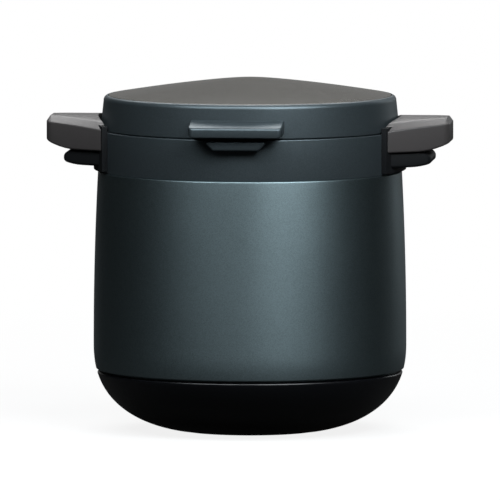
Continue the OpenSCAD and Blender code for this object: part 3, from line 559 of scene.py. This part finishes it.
def crossScrew(length, place):
    # countersunk screw along +Z from its head, with a cross recess
    s = screwForm
    head = [(0, -s["dome"])] + [(r, -s["dome"] * share) for r, share in s["domeSteps"]]
    head += [(s["headR"], z, s["rimEdge"]) for z in s["rim"]] + [(s["shankR"], s["headH"])]
    thread = []
    z = s["headH"] + s["threadFrom"]
    while z < length - s["threadEnd"]:
        thread += [(s["shankR"], z), (s["shankR"] - s["threadDepth"], z + s["threadDepth"])]
        z += s["pitch"]
    point = [(s["shankR"], length - s["point"]), (s["shankR"] - s["point"], length), (0, length)]
    screw = spin("screw", rounded(head) + thread + point, 32)
    wide, narrow, deep = s["slotL"] / 2, s["slotL"] / 3, s["slotDepth"]
    for turn in (0, 90):
        recess = [(-wide, -1), (wide, -1), (narrow, deep), (-narrow, deep)]
        bar = prism("bar", recess, -s["slotW"] / 2, s["slotW"] / 2, s["slotEdge"], "y", 1)
        bar.data.transform(Matrix.Rotation(math.radians(turn), 4, "Z"))
        carve(screw, bar)
    screw.data.transform(Matrix.Translation(Vector(place) * mm))
    return screw


def buildBaseScrews(b):
    screws = [crossScrew(b["screwLength"], spot + (b["lift"] + screwForm["seat"],)) for spot in screwSpots(b)]
    fit(joined("baseScrews", screws), "screwSteel", "screw_steel", "vessel", "base_screws")


buildBaseScrews(base)
print("vessel and base made")

collar = {
    "outline": [(122.4, 211, 0.7), (122.4, 244.6, 0.9), (116, 244.6, 0.8), (116, 238.6, 0.5), (108.6, 238.6, 0.9),
                (108.6, 226, 0.8), (111.7, 226, 0.6), (111.7, 235.6, 0.3), (118.6, 235.6, 0.4), (118.6, 211, 0.4)],
    "lipTop": 26, "lipLow": 18.5, "lipHigh": 244, "lipZ": 236.5, "lipBack": 119.2, "lipFace": 130.5, "lipEdge": 1.4,
    "lipCorners": (1.5, 2.5),
}


def buildCollar(c):
    fit(spin("collarRing", rounded(c["outline"]), 256), "collarGraphite", "collar_graphite", "vessel", "collar")
    upper, lower = c["lipCorners"]
    face = rounded([(-c["lipTop"], c["lipHigh"], upper), (-c["lipLow"], c["lipZ"], lower),
                    (c["lipLow"], c["lipZ"], lower), (c["lipTop"], c["lipHigh"], upper)])
    lip = prism("frontLip", face, -c["lipFace"], -c["lipBack"], c["lipEdge"], "y")
    fit(lip, "collarGraphite", "collar_graphite", "vessel", "collar_lip")


buildCollar(collar)

ear = {
    "rootR": 127.0, "rootHalf": 51, "taper": 32, "low": 229.5, "crown": 256.5, "crownR": 235,
    "cover": {"reach": 164.5, "inset": 0, "corner": 11, "rootR": 127.1},
    "riseFrom": 138, "rise": 6.6, "wall": 3, "lowEdge": 1.6, "lipEdge": 0.3,
    # hollow and bevelled top: how far in, how far down
    "hollow": [(4.2, 0), (1.4, 0.6), (0, 2.4)],
    "topEdge": [(0, 5.8), (0, 4.4, 1.2), (9, 0.3, 6), (13, 0)], "topStep": 0.8, "endShare": 0.3,
    "bracket": {"reach": 149.8, "inset": 4, "corner": 8, "rootR": 123.4},
    "bracketZ": 217, "bracketEdge": 2.2, "fallFrom": 138, "fall": 4, "liftFrom": 134, "lift": 2.6,
    "plateIn": 122.4, "plateLow": 212.4, "plateTop": 250, "plateHalf": 24.6, "plateEdge": 0.9,
    "flangeR": 123.2, "flangeZ": 250.4, "sliver": 0.03, "rootPlay": 0.01,  # sliver keeps neighbouring rings apart
    "screwX": 139, "screwY": 20, "screwZ": 221.5, "screwLength": 15.4, "sinkR": 3.9, "sinkOver": 0.6,
    "bossR": 5, "bossLift": 3.1, "bossDrop": 1.5, "postDown": 4, "postUp": 3,
}


def between(one, two, count):
    return [tuple(Vector(one).lerp(Vector(two), k / count)) for k in range(1, count)]


def earPlan(form, deep, rootR=None, endShare=1.0):
    # anticlockwise plan of the right ear, its sides moved in by deep: near side, end, far side, root arc
    slant = math.radians(ear["taper"])
    slope = math.tan(slant)
    reach, corner = form["reach"] - deep * endShare, max(0.3, form["corner"] - deep)
    half = ear["rootHalf"] - form["inset"] - deep / math.cos(slant)
    rootX = math.sqrt(ear["rootR"] ** 2 - ear["rootHalf"] ** 2)
    rootR = rootR or form["rootR"]
    x = rootX
    for _ in range(30):  # where the slanted side meets the root's arc
        y = half + (rootX - x) * slope
        x = math.sqrt(rootR ** 2 - y * y)
    turn = math.degrees(math.asin(y / rootR))
    endHalf = half + (rootX - reach) * slope
    corners = rounded([(x, -y), (reach, -endHalf, corner), (reach, endHalf, corner), (x, y)], 10)
    near, far = between(corners[0], corners[1], 8), between(corners[-2], corners[-1], 8)
    root = arcPoints((0, 0), rootR, turn, -turn, 20)[1:-1]
    return corners[:1] + near + corners[1:-1] + far + corners[-1:] + root


def bend(x, first, last):
    # share of a bend that starts softly at first and is whole at last
    return max(0.0, (x - first) / (last - first)) ** 2


def crownZ(y, drop):
    return ear["crown"] - drop - (ear["crownR"] - math.sqrt(ear["crownR"] ** 2 - y * y))


def buildEarCover(side, mirrored):
    e = ear
    form, wall, low = e["cover"], e["wall"], e["lowEdge"]
    innerR = form["rootR"] + wall

    def under(x, q):
        return e["low"] + bend(x, e["riseFrom"], form["reach"]) * e["rise"] + low * (1 - math.sin(q))

    rings = []
    for aside, down in e["hollow"]:
        deep = wall + aside
        rings.append([(x, y, crownZ(y, wall + down)) for x, y in earPlan(form, deep, innerR + deep - wall)])
    quarter = quarterTurn(4)
    for q in quarter[3:]:  # inner then outer edge of the open underside
        rings.append([(x, y, under(x, q)) for x, y in earPlan(form, wall - e["lipEdge"] * (1 - math.cos(q)), innerR)])
    for q in quarter[::-1]:
        rings.append([(x, y, under(x, q)) for x, y in earPlan(form, low * (1 - math.cos(q)))])

    def topRing(deep, drop, rootR, lowest, highest):
        # one line round the bevelled top, its root kept between two heights
        ring = []
        for x, y in earPlan(form, deep, rootR, e["endShare"]):
            z = crownZ(y, drop)
            onRoot = math.hypot(x, y) < rootR + e["rootPlay"]
            ring.append((x, y, min(max(z, lowest), highest) if onRoot else z))
        return ring

    outline = rounded(e["topEdge"], 6)
    edge = outline[:1]
    for point in outline[1:]:  # short steps up the bevel
        edge += between(edge[-1], point, max(1, round(math.dist(edge[-1], point) / e["topStep"]))) + [point]
    level, sliver, risen = e["flangeZ"], e["sliver"], False
    for deep, drop in edge:
        if crownZ(earPlan(form, deep)[0][1], drop) < level:
            rings.append(topRing(deep, drop, form["rootR"], 0, level))
            continue
        if not risen:  # from here up a flange lies over the root plate
            rings.append(topRing(deep - 2 * sliver, drop + sliver, form["rootR"], level, level))
            rings.append(topRing(deep - sliver, drop + sliver / 2, e["flangeR"], level, level))
            risen = True
        rings.append(topRing(deep, drop, e["flangeR"], level + sliver, e["crown"]))
    cover = loft("earCover" + side, rings, range(-48, 49, 6))
    for y in (-e["screwY"], e["screwY"]):
        boss = rod("boss", e["bossR"], e["low"] + e["bossLift"], crownZ(y, e["bossDrop"]), (e["screwX"], y))
        carve(cover, boss, "UNION")
    if mirrored:
        turnOver(cover)
    fit(cover, "handleTaupe", "handle_taupe", "vessel", "handle_cover_" + side.lower())


def turnOver(piece):
    piece.data.transform(Matrix.Diagonal((-1, 1, 1, 1)))
    piece.data.flip_normals()


def buildEarBracket(side, mirrored):
    e = ear
    form, top, edge = e["bracket"], e["low"], e["bracketEdge"]

    def under(x, up):
        return e["bracketZ"] + bend(x, e["liftFrom"], form["reach"]) * e["lift"] + up

    def over(x, drop):
        return top - bend(x, e["fallFrom"], form["reach"]) * e["fall"] - drop

    bends = [(edge * (1 - math.sin(q)), edge * (1 - math.cos(q))) for q in quarterTurn(4)]
    rings = [[(x, y, under(x, along)) for x, y in earPlan(form, deep)] for deep, along in bends]
    rings += [[(x, y, over(x, along)) for x, y in earPlan(form, deep)] for along, deep in bends]
    wedge = loft("earBracket" + side, rings)
    half = e["plateHalf"]
    plate = arcPoints((0, 0), e["rootR"], -half, half, 24) + arcPoints((0, 0), e["plateIn"], half, -half, 24)
    carve(wedge, prism("plate", plate, e["plateLow"], e["plateTop"], e["plateEdge"], "z"), "UNION")
    for y in (-e["screwY"], e["screwY"]):
        spot = (e["screwX"], y)
        carve(wedge, rod("post", e["bossR"], top - e["postDown"], top + e["postUp"], spot), "UNION")
        carve(wedge, rod("sink", e["sinkR"], e["plateLow"], e["screwZ"] + e["sinkOver"], spot))
    if mirrored:
        turnOver(wedge)
    fit(wedge, "bracketBlack", "handle_black", "vessel", "handle_bracket_" + side.lower())


for side, mirrored in (("Right", False), ("Left", True)):
    buildEarCover(side, mirrored)
    buildEarBracket(side, mirrored)

earScrews = [crossScrew(ear["screwLength"], (x, y, ear["screwZ"] + screwForm["seat"]))
             for x in (-ear["screwX"], ear["screwX"]) for y in (-ear["screwY"], ear["screwY"])]
fit(joined("earScrews", earScrews), "screwSteel", "screw_steel", "vessel", "handle_screws")
print("collar and ear handles made")

lid = {
    "wall": [(115.2, 270.8, 0.2), (109.9, 270.8, 0.3), (109.9, 268.8, 0.3), (116.33, 268.8, 0.6), (118.8, 245.2, 0.4),
             (121.4, 245.2, 0.7)],
    "rim": (115.4, 268.4), "rimSize": (3.55, 4.2),
    "plateR": 114.9, "plateZ": 272.8, "slope": 0.145, "blend": 19, "bulge": 0.6, "bulgeSkew": 1.3,
    "plateT": 2, "plateEdge": 0.5,
    "pan": [(0, 266.8), (35, 266.8, 24), (90, 257.8, 24), (113.6, 257.8, 4), (113.6, 242, 0.7), (115.4, 242, 0.7),
            (115.4, 247.9, 0.2), (118.19, 247.9, 0.2), (117.96, 249.9, 0.2), (115.4, 249.9, 0.2), (115.4, 259.6, 3),
            (90, 259.6, 24), (35, 268.6, 24), (0, 268.6)],
    "gasket": [(115.5, 247.9), (115.5, 246.2, 0.4), (116.1, 244.9, 0.6), (117.0, 244.9, 0.6), (117.3, 246.0, 0.3),
               (118.19, 246.4, 0.4), (118.19, 247.9)],
}


def buildLid(d):
    (rimR, rimZ), (wide, high) = d["rim"], d["rimSize"]
    curve = [(rimR + wide * a, rimZ + high * b) for a, b in arcPoints((0, 0), 1, 0, 90, 12)]
    fit(spin("lidWall", rounded(d["wall"] + curve, 6), 256), "lidGraphite", "lid_graphite", "lid", "lid_shell")
    plateR, edge = d["plateR"], d["plateEdge"]
    rim = math.hypot(plateR, d["blend"])

    def face(r):
        cone = d["slope"] * (rim - math.hypot(r, d["blend"]))
        return d["plateZ"] + cone + d["bulge"] * math.sin(math.pi * (r / plateR) ** d["bulgeSkew"])

    steps = 60
    radii = [plateR * k / steps for k in range(steps)]
    top = [(r, face(r)) for r in radii if r < plateR - edge]
    lip = arcPoints((plateR - edge, face(plateR) - edge), edge, 80, 0, 5)
    under = [(r, z - d["plateT"]) for r, z in top[::-1]]
    fit(spin("lidDome", top + lip + [(plateR, face(plateR) - d["plateT"])] + under, 256),
        "topTaupe", "lid_top_taupe", "lid", "lid_top_plate")
    fit(spin("lidPan", rounded(d["pan"], 8), 192), "panGrey", "pan_grey", "lid", "lid_liner")
    fit(spin("lidSeal", rounded(d["gasket"], 5), 192), "sealSilicone", "seal_silicone", "lid", "lid_gasket")


buildLid(lid)

tab = {
    "half": 38, "face": 137, "corner": 4.5, "rootR": 119.4, "low": 247, "faceTop": 254.8, "rootTop": 260.2,
    "slopeEnd": 121.4, "edge": 1.6, "lowEdge": 0.8, "wall": 3, "lift": 2.4, "liftFrom": 31,
    "hollowEdge": 1, "sliceY": 129,
}


def buildTab(t):
    turn = math.degrees(math.asin(t["half"] / t["rootR"]))
    rootY = -t["rootR"] * math.cos(math.radians(turn))
    plan = rounded([(-t["half"], rootY), (-t["half"], -t["face"], t["corner"]), (t["half"], -t["face"], t["corner"]),
                    (t["half"], rootY)], 8)
    plan += arcPoints((0, 0), t["rootR"], -90 + turn, -90 - turn, 16)[1:-1]
    climb = (t["rootTop"] - t["faceTop"]) / (t["face"] - t["slopeEnd"])

    def topZ(y, drop):
        return min(t["rootTop"], t["faceTop"] + (t["face"] + y) * climb) - drop

    def under(x, q):
        return t["low"] + t["lift"] * bend(abs(x), t["liftFrom"], t["half"]) + t["lowEdge"] * (1 - math.sin(q))

    quarter = quarterTurn(3)
    low, wall, hollow = t["lowEdge"], t["wall"], t["wall"] + t["hollowEdge"]
    rings = [[(x, y, topZ(y, drop)) for x, y in inset(plan, deep)] for deep, drop in ((hollow, wall), (wall, hollow))]
    rings += [[(x, y, under(x, q)) for x, y in inset(plan, wall - low * (1 - math.cos(q)))] for q in quarter]
    rings += [[(x, y, under(x, q)) for x, y in inset(plan, low * (1 - math.cos(q)))] for q in quarter[::-1]]
    for q in quarterTurn(6):
        drop, deep = t["edge"] * (1 - math.sin(q)), t["edge"] * (1 - math.cos(q))
        rings.append([(x, y, topZ(y, drop)) for x, y in inset(plan, deep)])
    piece = loft("liftTab", rings, [-t["slopeEnd"], -t["sliceY"]])
    fit(piece, "lidGraphite", "lid_graphite", "lid", "lid_tab")


buildTab(tab)
print("lid made")

hinge = {
    "axisY": 131, "axisZ": 247, "barrel": 6, "half": 31, "inner": 17.9, "arm": 17.5, "low": 222.6, "middle": 240.6,
    "footY": 123.4, "backZ": 233.6, "earRoot": 117.6, "seatRoot": 119.5, "edge": 0.8, "armLow": 245.6, "armTop": 260.6,
    "armRoot": 118.2, "armFace": 124.3, "armStart": 0.4, "armLean": (0.6, 0.4), "armEnd": 250,
    "seatLap": 1, "seatEdge": 0.3,
    "pinEnd": [(0, -1.2), (2, -1.2, 0.8), (2.9, -0.2, 0.4), (2.9, 0.1), (2, 0.1)],  # from the bracket's side
}


def buildHinge(h):
    back = h["axisY"] + h["barrel"]
    knuckle = [(h["footY"], h["low"], 1.2), (back, h["backZ"], 5)]
    # the roots end in the collar's wall
    ears = rounded([(h["earRoot"], h["low"])] + knuckle + [(back, h["axisZ"])], 6)[:-1]
    ears += arcPoints((h["axisY"], h["axisZ"]), h["barrel"], 0, 180, 20)
    ears += [(h["axisY"] - h["barrel"], h["middle"]), (h["earRoot"], h["middle"])]
    middle = rounded([(h["seatRoot"], h["low"])] + knuckle + [(back, h["middle"], 1), (h["seatRoot"], h["middle"])], 6)
    parts = [prism("ear", ears, x, x + h["half"] - h["inner"], h["edge"]) for x in (-h["half"], h["inner"])]
    parts.append(prism("seat", middle, -h["inner"] - h["seatLap"], h["inner"] + h["seatLap"], h["seatEdge"]))
    fit(joined("hingeSeat", parts), "bracketBlack", "handle_black", "vessel", "hinge_bracket")

    rootX = h["axisY"] - math.sqrt(h["barrel"] ** 2 - (h["axisZ"] - h["armLow"]) ** 2)
    first = math.degrees(math.atan2(h["armLow"] - h["axisZ"], rootX - h["axisY"]))
    arm = [(h["armRoot"], h["armLow"]), (rootX - h["armStart"], h["armLow"])]
    arm += arcPoints((h["axisY"], h["axisZ"]), h["barrel"], first, 90, 28)
    crest = h["axisZ"] + h["barrel"]
    outward, inward = h["armLean"]
    arm += rounded([(h["axisY"], crest), (h["armFace"] + outward, crest, 2), (h["armFace"] - inward, h["armTop"], 1.2),
                    (h["armRoot"], h["armTop"], 0.2), (h["armRoot"], h["armEnd"])], 6)[1:-1]
    fit(prism("hingeArm", arm, -h["arm"], h["arm"], h["edge"]), "bracketBlack", "handle_black", "lid", "lid_hinge_arm")

    end = rounded([(r, z - h["half"], *edge) for r, z, *edge in h["pinEnd"]])
    pin = spin("hingePin", end + [(r, -z) for r, z in end[::-1]], 40)
    axis = Matrix.Translation(Vector((0, h["axisY"], h["axisZ"])) * mm)
    pin.data.transform(axis @ Matrix.Rotation(math.pi / 2, 4, "Y"))
    fit(pin, "screwSteel", "screw_steel", "vessel", "hinge_pin")


buildHinge(hinge)
print("hinge made")

pot = {
    "liner": [(0, 29), (113, 29, 21), (113, 233), (117.5, 233), (117.5, 234, 0.4), (112, 234, 0.4), (112, 30, 20),
              (0, 30)],
    "body": [(0, 37), (104.8, 37, 16), (104.8, 233.8, 0.7), (107.4, 233.8, 0.7), (107.4, 238.8, 0.6),
             (112, 238.8, 0.55), (112, 240, 0.55), (106.2, 240, 0.7), (106.2, 235, 0.4), (103.6, 235, 0.7),
             (103.6, 38.2, 14.8), (0, 38.2)],
    "cap": [(0, 32), (85, 32, 1.6), (85, 37, 0.3), (84, 37), (84, 33, 0.6), (0, 33)],
    "bailR": 110.6, "bailZ": 242.5, "wire": 2, "corner": 3.2, "endX": 106.0,
    "earX": (106.2, 108.1), "earHalf": 5, "earLow": 240, "earEdge": 0.4,
}


def tube(name, path, radius, sides=20):
    # round wire along a path, with flat ends
    bm = bmesh.new()
    count = len(path)
    rows = []
    for i, p in enumerate(path):
        here = Vector(p)
        ahead = (Vector(path[min(i + 1, count - 1)]) - Vector(path[max(i - 1, 0)])).normalized()
        up = Vector((0, 0, 1))
        out = ahead.cross(up).normalized()
        rows.append([bm.verts.new((here + (out * math.cos(a) + up * math.sin(a)) * radius) * mm)
                     for a in [2 * math.pi * k / sides for k in range(sides)]])
    for low, high in zip(rows, rows[1:]):
        for k in range(sides):
            bm.faces.new((low[k], low[(k + 1) % sides], high[(k + 1) % sides], high[k]))
    bm.faces.new(rows[0])
    bm.faces.new(rows[-1])
    return finishMesh(bm, name)


def buildPot(p):
    fit(spin("vesselLiner", rounded(p["liner"], 12), 192), "vesselSteel", "vessel_steel", "vessel", "inner_liner")
    fit(spin("potBody", rounded(p["body"], 10), 192), "potSteel", "pot_steel", "pot", "pot_body")
    fit(spin("potBaseCap", rounded(p["cap"], 6), 160), "potSteel", "pot_steel", "pot", "pot_base_cap")
    z, corner = p["bailZ"], p["corner"]
    centre = math.sqrt((p["bailR"] - corner) ** 2 - corner ** 2)
    meet = math.degrees(math.atan2(corner, centre))
    half = [(p["endX"], 0.0), ((p["endX"] + centre) / 2, 0.0)] + arcPoints((centre, corner), corner, -90, meet, 8)
    half += arcPoints((0, 0), p["bailR"], meet, 90, 48)[1:]
    path = [(x, y, z) for x, y in half] + [(-x, y, z) for x, y in half[::-1][1:]]
    fit(tube("potBail", path, p["wire"]), "potSteel", "pot_steel", "bail", "pot_bail")
    ears = []
    for side in (-1, 1):
        outline = [(-p["earHalf"], p["earLow"]), (p["earHalf"], p["earLow"])]
        outline += arcPoints((0, z), p["earHalf"], 0, 180, 20)
        low, high = sorted(side * x for x in p["earX"])
        ears.append(prism("bailEar", outline, low, high, p["earEdge"]))
    fit(joined("bailEars", ears), "potSteel", "pot_steel", "pot", "bail_ears")


buildPot(pot)

potLid = {
    "glassR": 103.2, "glassEdge": 0.5, "dome": 1067.5, "top": 245.2, "thick": 4, "hole": 2.55,
    "ventY": 66, "ventR": 3, "flangeR": 5.5, "ventT": 0.8, "ventPlay": 0.05, "drill": (230, 250),
    "rim": [(105.7, 235.2, 0.8), (105.7, 241.2, 1.6), (100.7, 241.2, 0.4), (100.7, 240.56, 0.1), (103.3, 240.32, 0.1),
            (103.3, 236.06, 0.1), (100.7, 236.3, 0.1), (100.7, 235.2, 0.4)],
    "knob": [(0, 246.2), (10, 246.2, 0.8), (9, 252, 5), (19, 255, 2.2), (19, 257.6, 1.6), (16.8, 259.2, 2.4),
             (7, 258.7, 4), (0, 258.6)],
    "lowWasher": 240.17, "washerR": 8, "washerT": 1, "washerEdge": 0.3,
    "screw": [(0, -2), (3.2, -2, 1), (5, -1, 0.8), (5, 0, 0.2), (2.5, 0)], "screwTop": 253,  # from under the washer
    "slot": (-3, -1.1), "slotHalf": (6, 0.6), "slotEdge": 0.05,
}


def buildPotLid(g):
    def dome(r, drop):
        return g["top"] - g["dome"] + math.sqrt((g["dome"] - drop) ** 2 - r * r)

    glassR, bevel, steps = g["glassR"], g["glassEdge"], 30
    radii = [g["hole"] + (glassR - bevel - g["hole"]) * k / steps for k in range(steps + 1)]
    top = [(r, dome(r, 0)) for r in radii]
    edge = [(glassR, dome(glassR, drop)) for drop in (bevel, g["thick"] - bevel)]
    under = [(r, dome(r, g["thick"])) for r in radii[::-1]]
    glass = spin("potLidGlass", top + edge + under, 192)
    carve(glass, rod("drill", g["ventR"], *g["drill"], (0, g["ventY"]), 48))
    fit(glass, "lidGlass", "lid_glass", "pot_lid", "pot_lid_glass")
    fit(spin("potLidRim", rounded(g["rim"], 5), 192), "potSteel", "pot_steel", "pot_lid", "pot_lid_rim")
    fit(spin("potLidKnob", rounded(g["knob"], 8), 96), "knobBlack", "knob_black", "pot_lid", "pot_lid_knob")
    seat = dome(g["ventY"] - g["flangeR"], 0)
    t, sleeve = g["ventT"], g["ventR"] - g["ventPlay"]
    foot = seat - g["thick"] - t
    eyelet = [(sleeve - t, foot, 0.2), (sleeve, foot, 0.2), (sleeve, seat, 0.1),
              (g["flangeR"], seat, 0.3), (g["flangeR"], seat + t, 0.35), (sleeve - t, seat + t, 0.5)]
    vent = spin("ventEyelet", rounded(eyelet, 5), 48, (0, g["ventY"]))
    fit(vent, "potSteel", "pot_steel", "pot_lid", "vent_grommet")
    low, high, edge = g["lowWasher"] - g["washerT"], g["top"], g["washerEdge"]
    rings = []
    for z in (low, high):
        over = z + g["washerT"]
        ring = [(g["hole"], z), (g["washerR"], z, edge), (g["washerR"], over, edge), (g["hole"], over)]
        rings.append(spin("washer", rounded(ring, 4), 64))
    fit(joined("knobWashers", rings), "footRubber", "foot_rubber", "pot_lid", "knob_washers")
    head = [(r, low + z, *edge) for r, z, *edge in g["screw"]]
    head += [(head[-1][0], g["screwTop"]), (0, g["screwTop"])]
    screw = spin("knobScrew", rounded(head, 5), 48)
    (mouth, root), (long, wide) = g["slot"], g["slotHalf"]
    slot = [(-long, low + mouth), (long, low + mouth), (long, low + root), (-long, low + root)]
    carve(screw, prism("slot", slot, -wide, wide, g["slotEdge"], "y", 1))
    fit(screw, "screwSteel", "screw_steel", "pot_lid", "knob_screw")


buildPotLid(potLid)

carried = {  # hidden inside, so their own solids do
    "shell_floor": "vesselSteel", "vacuum_seal": "vesselSteel", "base_studs": "screwSteel",
    "collar_seal": "sealSilicone", "collar_screws": "screwSteel", "lid_foam": "lidFoam",
    "lid_screws": "screwSteel", "pot_base_core": "potAluminium",
}
for node, finish in carried.items():
    dressNode(node, finish)
print("pot and its lid made")

stage = {
    "floorSize": 6, "floorDrop": 0.0002, "floorColour": (0.8, 0.8, 0.805), "floorShade": (0.02, 0.02, 0.02),
    "floorGlow": 0.86, "glowFrom": 0.3, "glowWhole": 1.2,
    "backdrop": 0.28, "backdropFrom": 0.8, "backdropWhole": 0.97,  # wall behind, only seen mirrored
    "room": 0.006, "fill": 0.08, "lampAim": 0.15,
}


def buildStage(s):
    bm = bmesh.new()
    bmesh.ops.create_grid(bm, x_segments=1, y_segments=1, size=s["floorSize"])
    floor = finishMesh(bm, "floor")
    floor.location.z = -s["floorDrop"]
    material = bpy.data.materials.new("floorPale")
    material.use_nodes = True
    shop = Shop(material.node_tree)
    glow = shop.node("Emission", {}, {"Color": (1, 1, 1, 1), "Strength": 1.0})
    clear, glossy = shop.rays()
    matt = shop.node("BsdfDiffuse", {}, {"Color": shop.blend(clear, s["floorShade"], s["floorColour"])})
    spot = shop.node("TexCoord", out="Object")
    far = shop.node("VectorMath", {"operation": "LENGTH"}, {0: spot}, out="Value").clip(s["glowFrom"], s["glowWhole"])
    glowing = s["floorGlow"] + far * (1 - s["floorGlow"])  # the far floor is plain white
    seen = clear * glowing + (1 - clear) * glossy * s["room"]
    surface = shop.node("MixShader", {}, {0: seen, 1: matt, 2: glow})
    shop.node("OutputMaterial", {}, {"Surface": surface})
    floor.data.materials.append(material)

    world = bpy.data.worlds.new("studio")
    scene.world = world
    world.use_nodes = True
    shop = Shop(world.node_tree)
    behind = shop.node("SeparateXYZ", {}, {0: shop.node("TexCoord", out="Generated")}, out="Y")
    clear, glossy = shop.rays()
    wall = behind.clip(s["backdropFrom"], s["backdropWhole"])
    mirrored = s["room"] + wall * (s["backdrop"] - s["room"])
    level = clear + (1 - clear) * (glossy * mirrored + (1 - glossy) * s["fill"])
    sky = shop.node("Background", {}, {"Color": (1, 1, 1, 1), "Strength": level})
    shop.node("OutputWorld", {}, {"Surface": sky})


buildStage(stage)

lamps = {
    "key": {
        "azimuth": 35, "elevation": 39, "distance": 1.2, "size": (0.75, 0.5), "power": 14.5,
        "colour": (0.93, 1.0, 1.03)},
    "side": {
        "azimuth": -30, "elevation": 44, "distance": 1.2, "size": (0.75, 0.4), "power": 7.4,
        "colour": (0.93, 1.0, 1.03)},
    "front": {
        "azimuth": 6, "elevation": 60, "distance": 2.4, "size": (1.2, 0.6), "power": 22,
        "colour": (0.95, 1.0, 1.02)},
    "back": {
        "azimuth": 188, "elevation": 48, "distance": 2.4, "size": (1.8, 0.8), "power": 31,
        "colour": (1, 1, 1)},
    "rim": {
        "azimuth": 145, "elevation": 20, "distance": 2.4, "size": (0.3, 1.6), "power": 3.5,
        "colour": (0.92, 0.98, 1.0)},
}


def hangLamp(name, lamp):
    aim = Vector((0, 0, stage["lampAim"]))
    place = aim + direction(lamp["azimuth"], lamp["elevation"]) * lamp["distance"]
    data = bpy.data.lights.new(name, "AREA")
    data.shape = "RECTANGLE"
    data.size, data.size_y = lamp["size"]
    data.energy = lamp["power"]
    data.color = lamp["colour"]
    obj = bpy.data.objects.new(name, data)
    obj.location = place
    obj.rotation_euler = (aim - place).to_track_quat("-Z", "Y").to_euler()
    scene.collection.objects.link(obj)


for name, lamp in lamps.items():
    hangLamp(name, lamp)
scene.view_settings.view_transform = "Standard"
print("stage and lamps set")
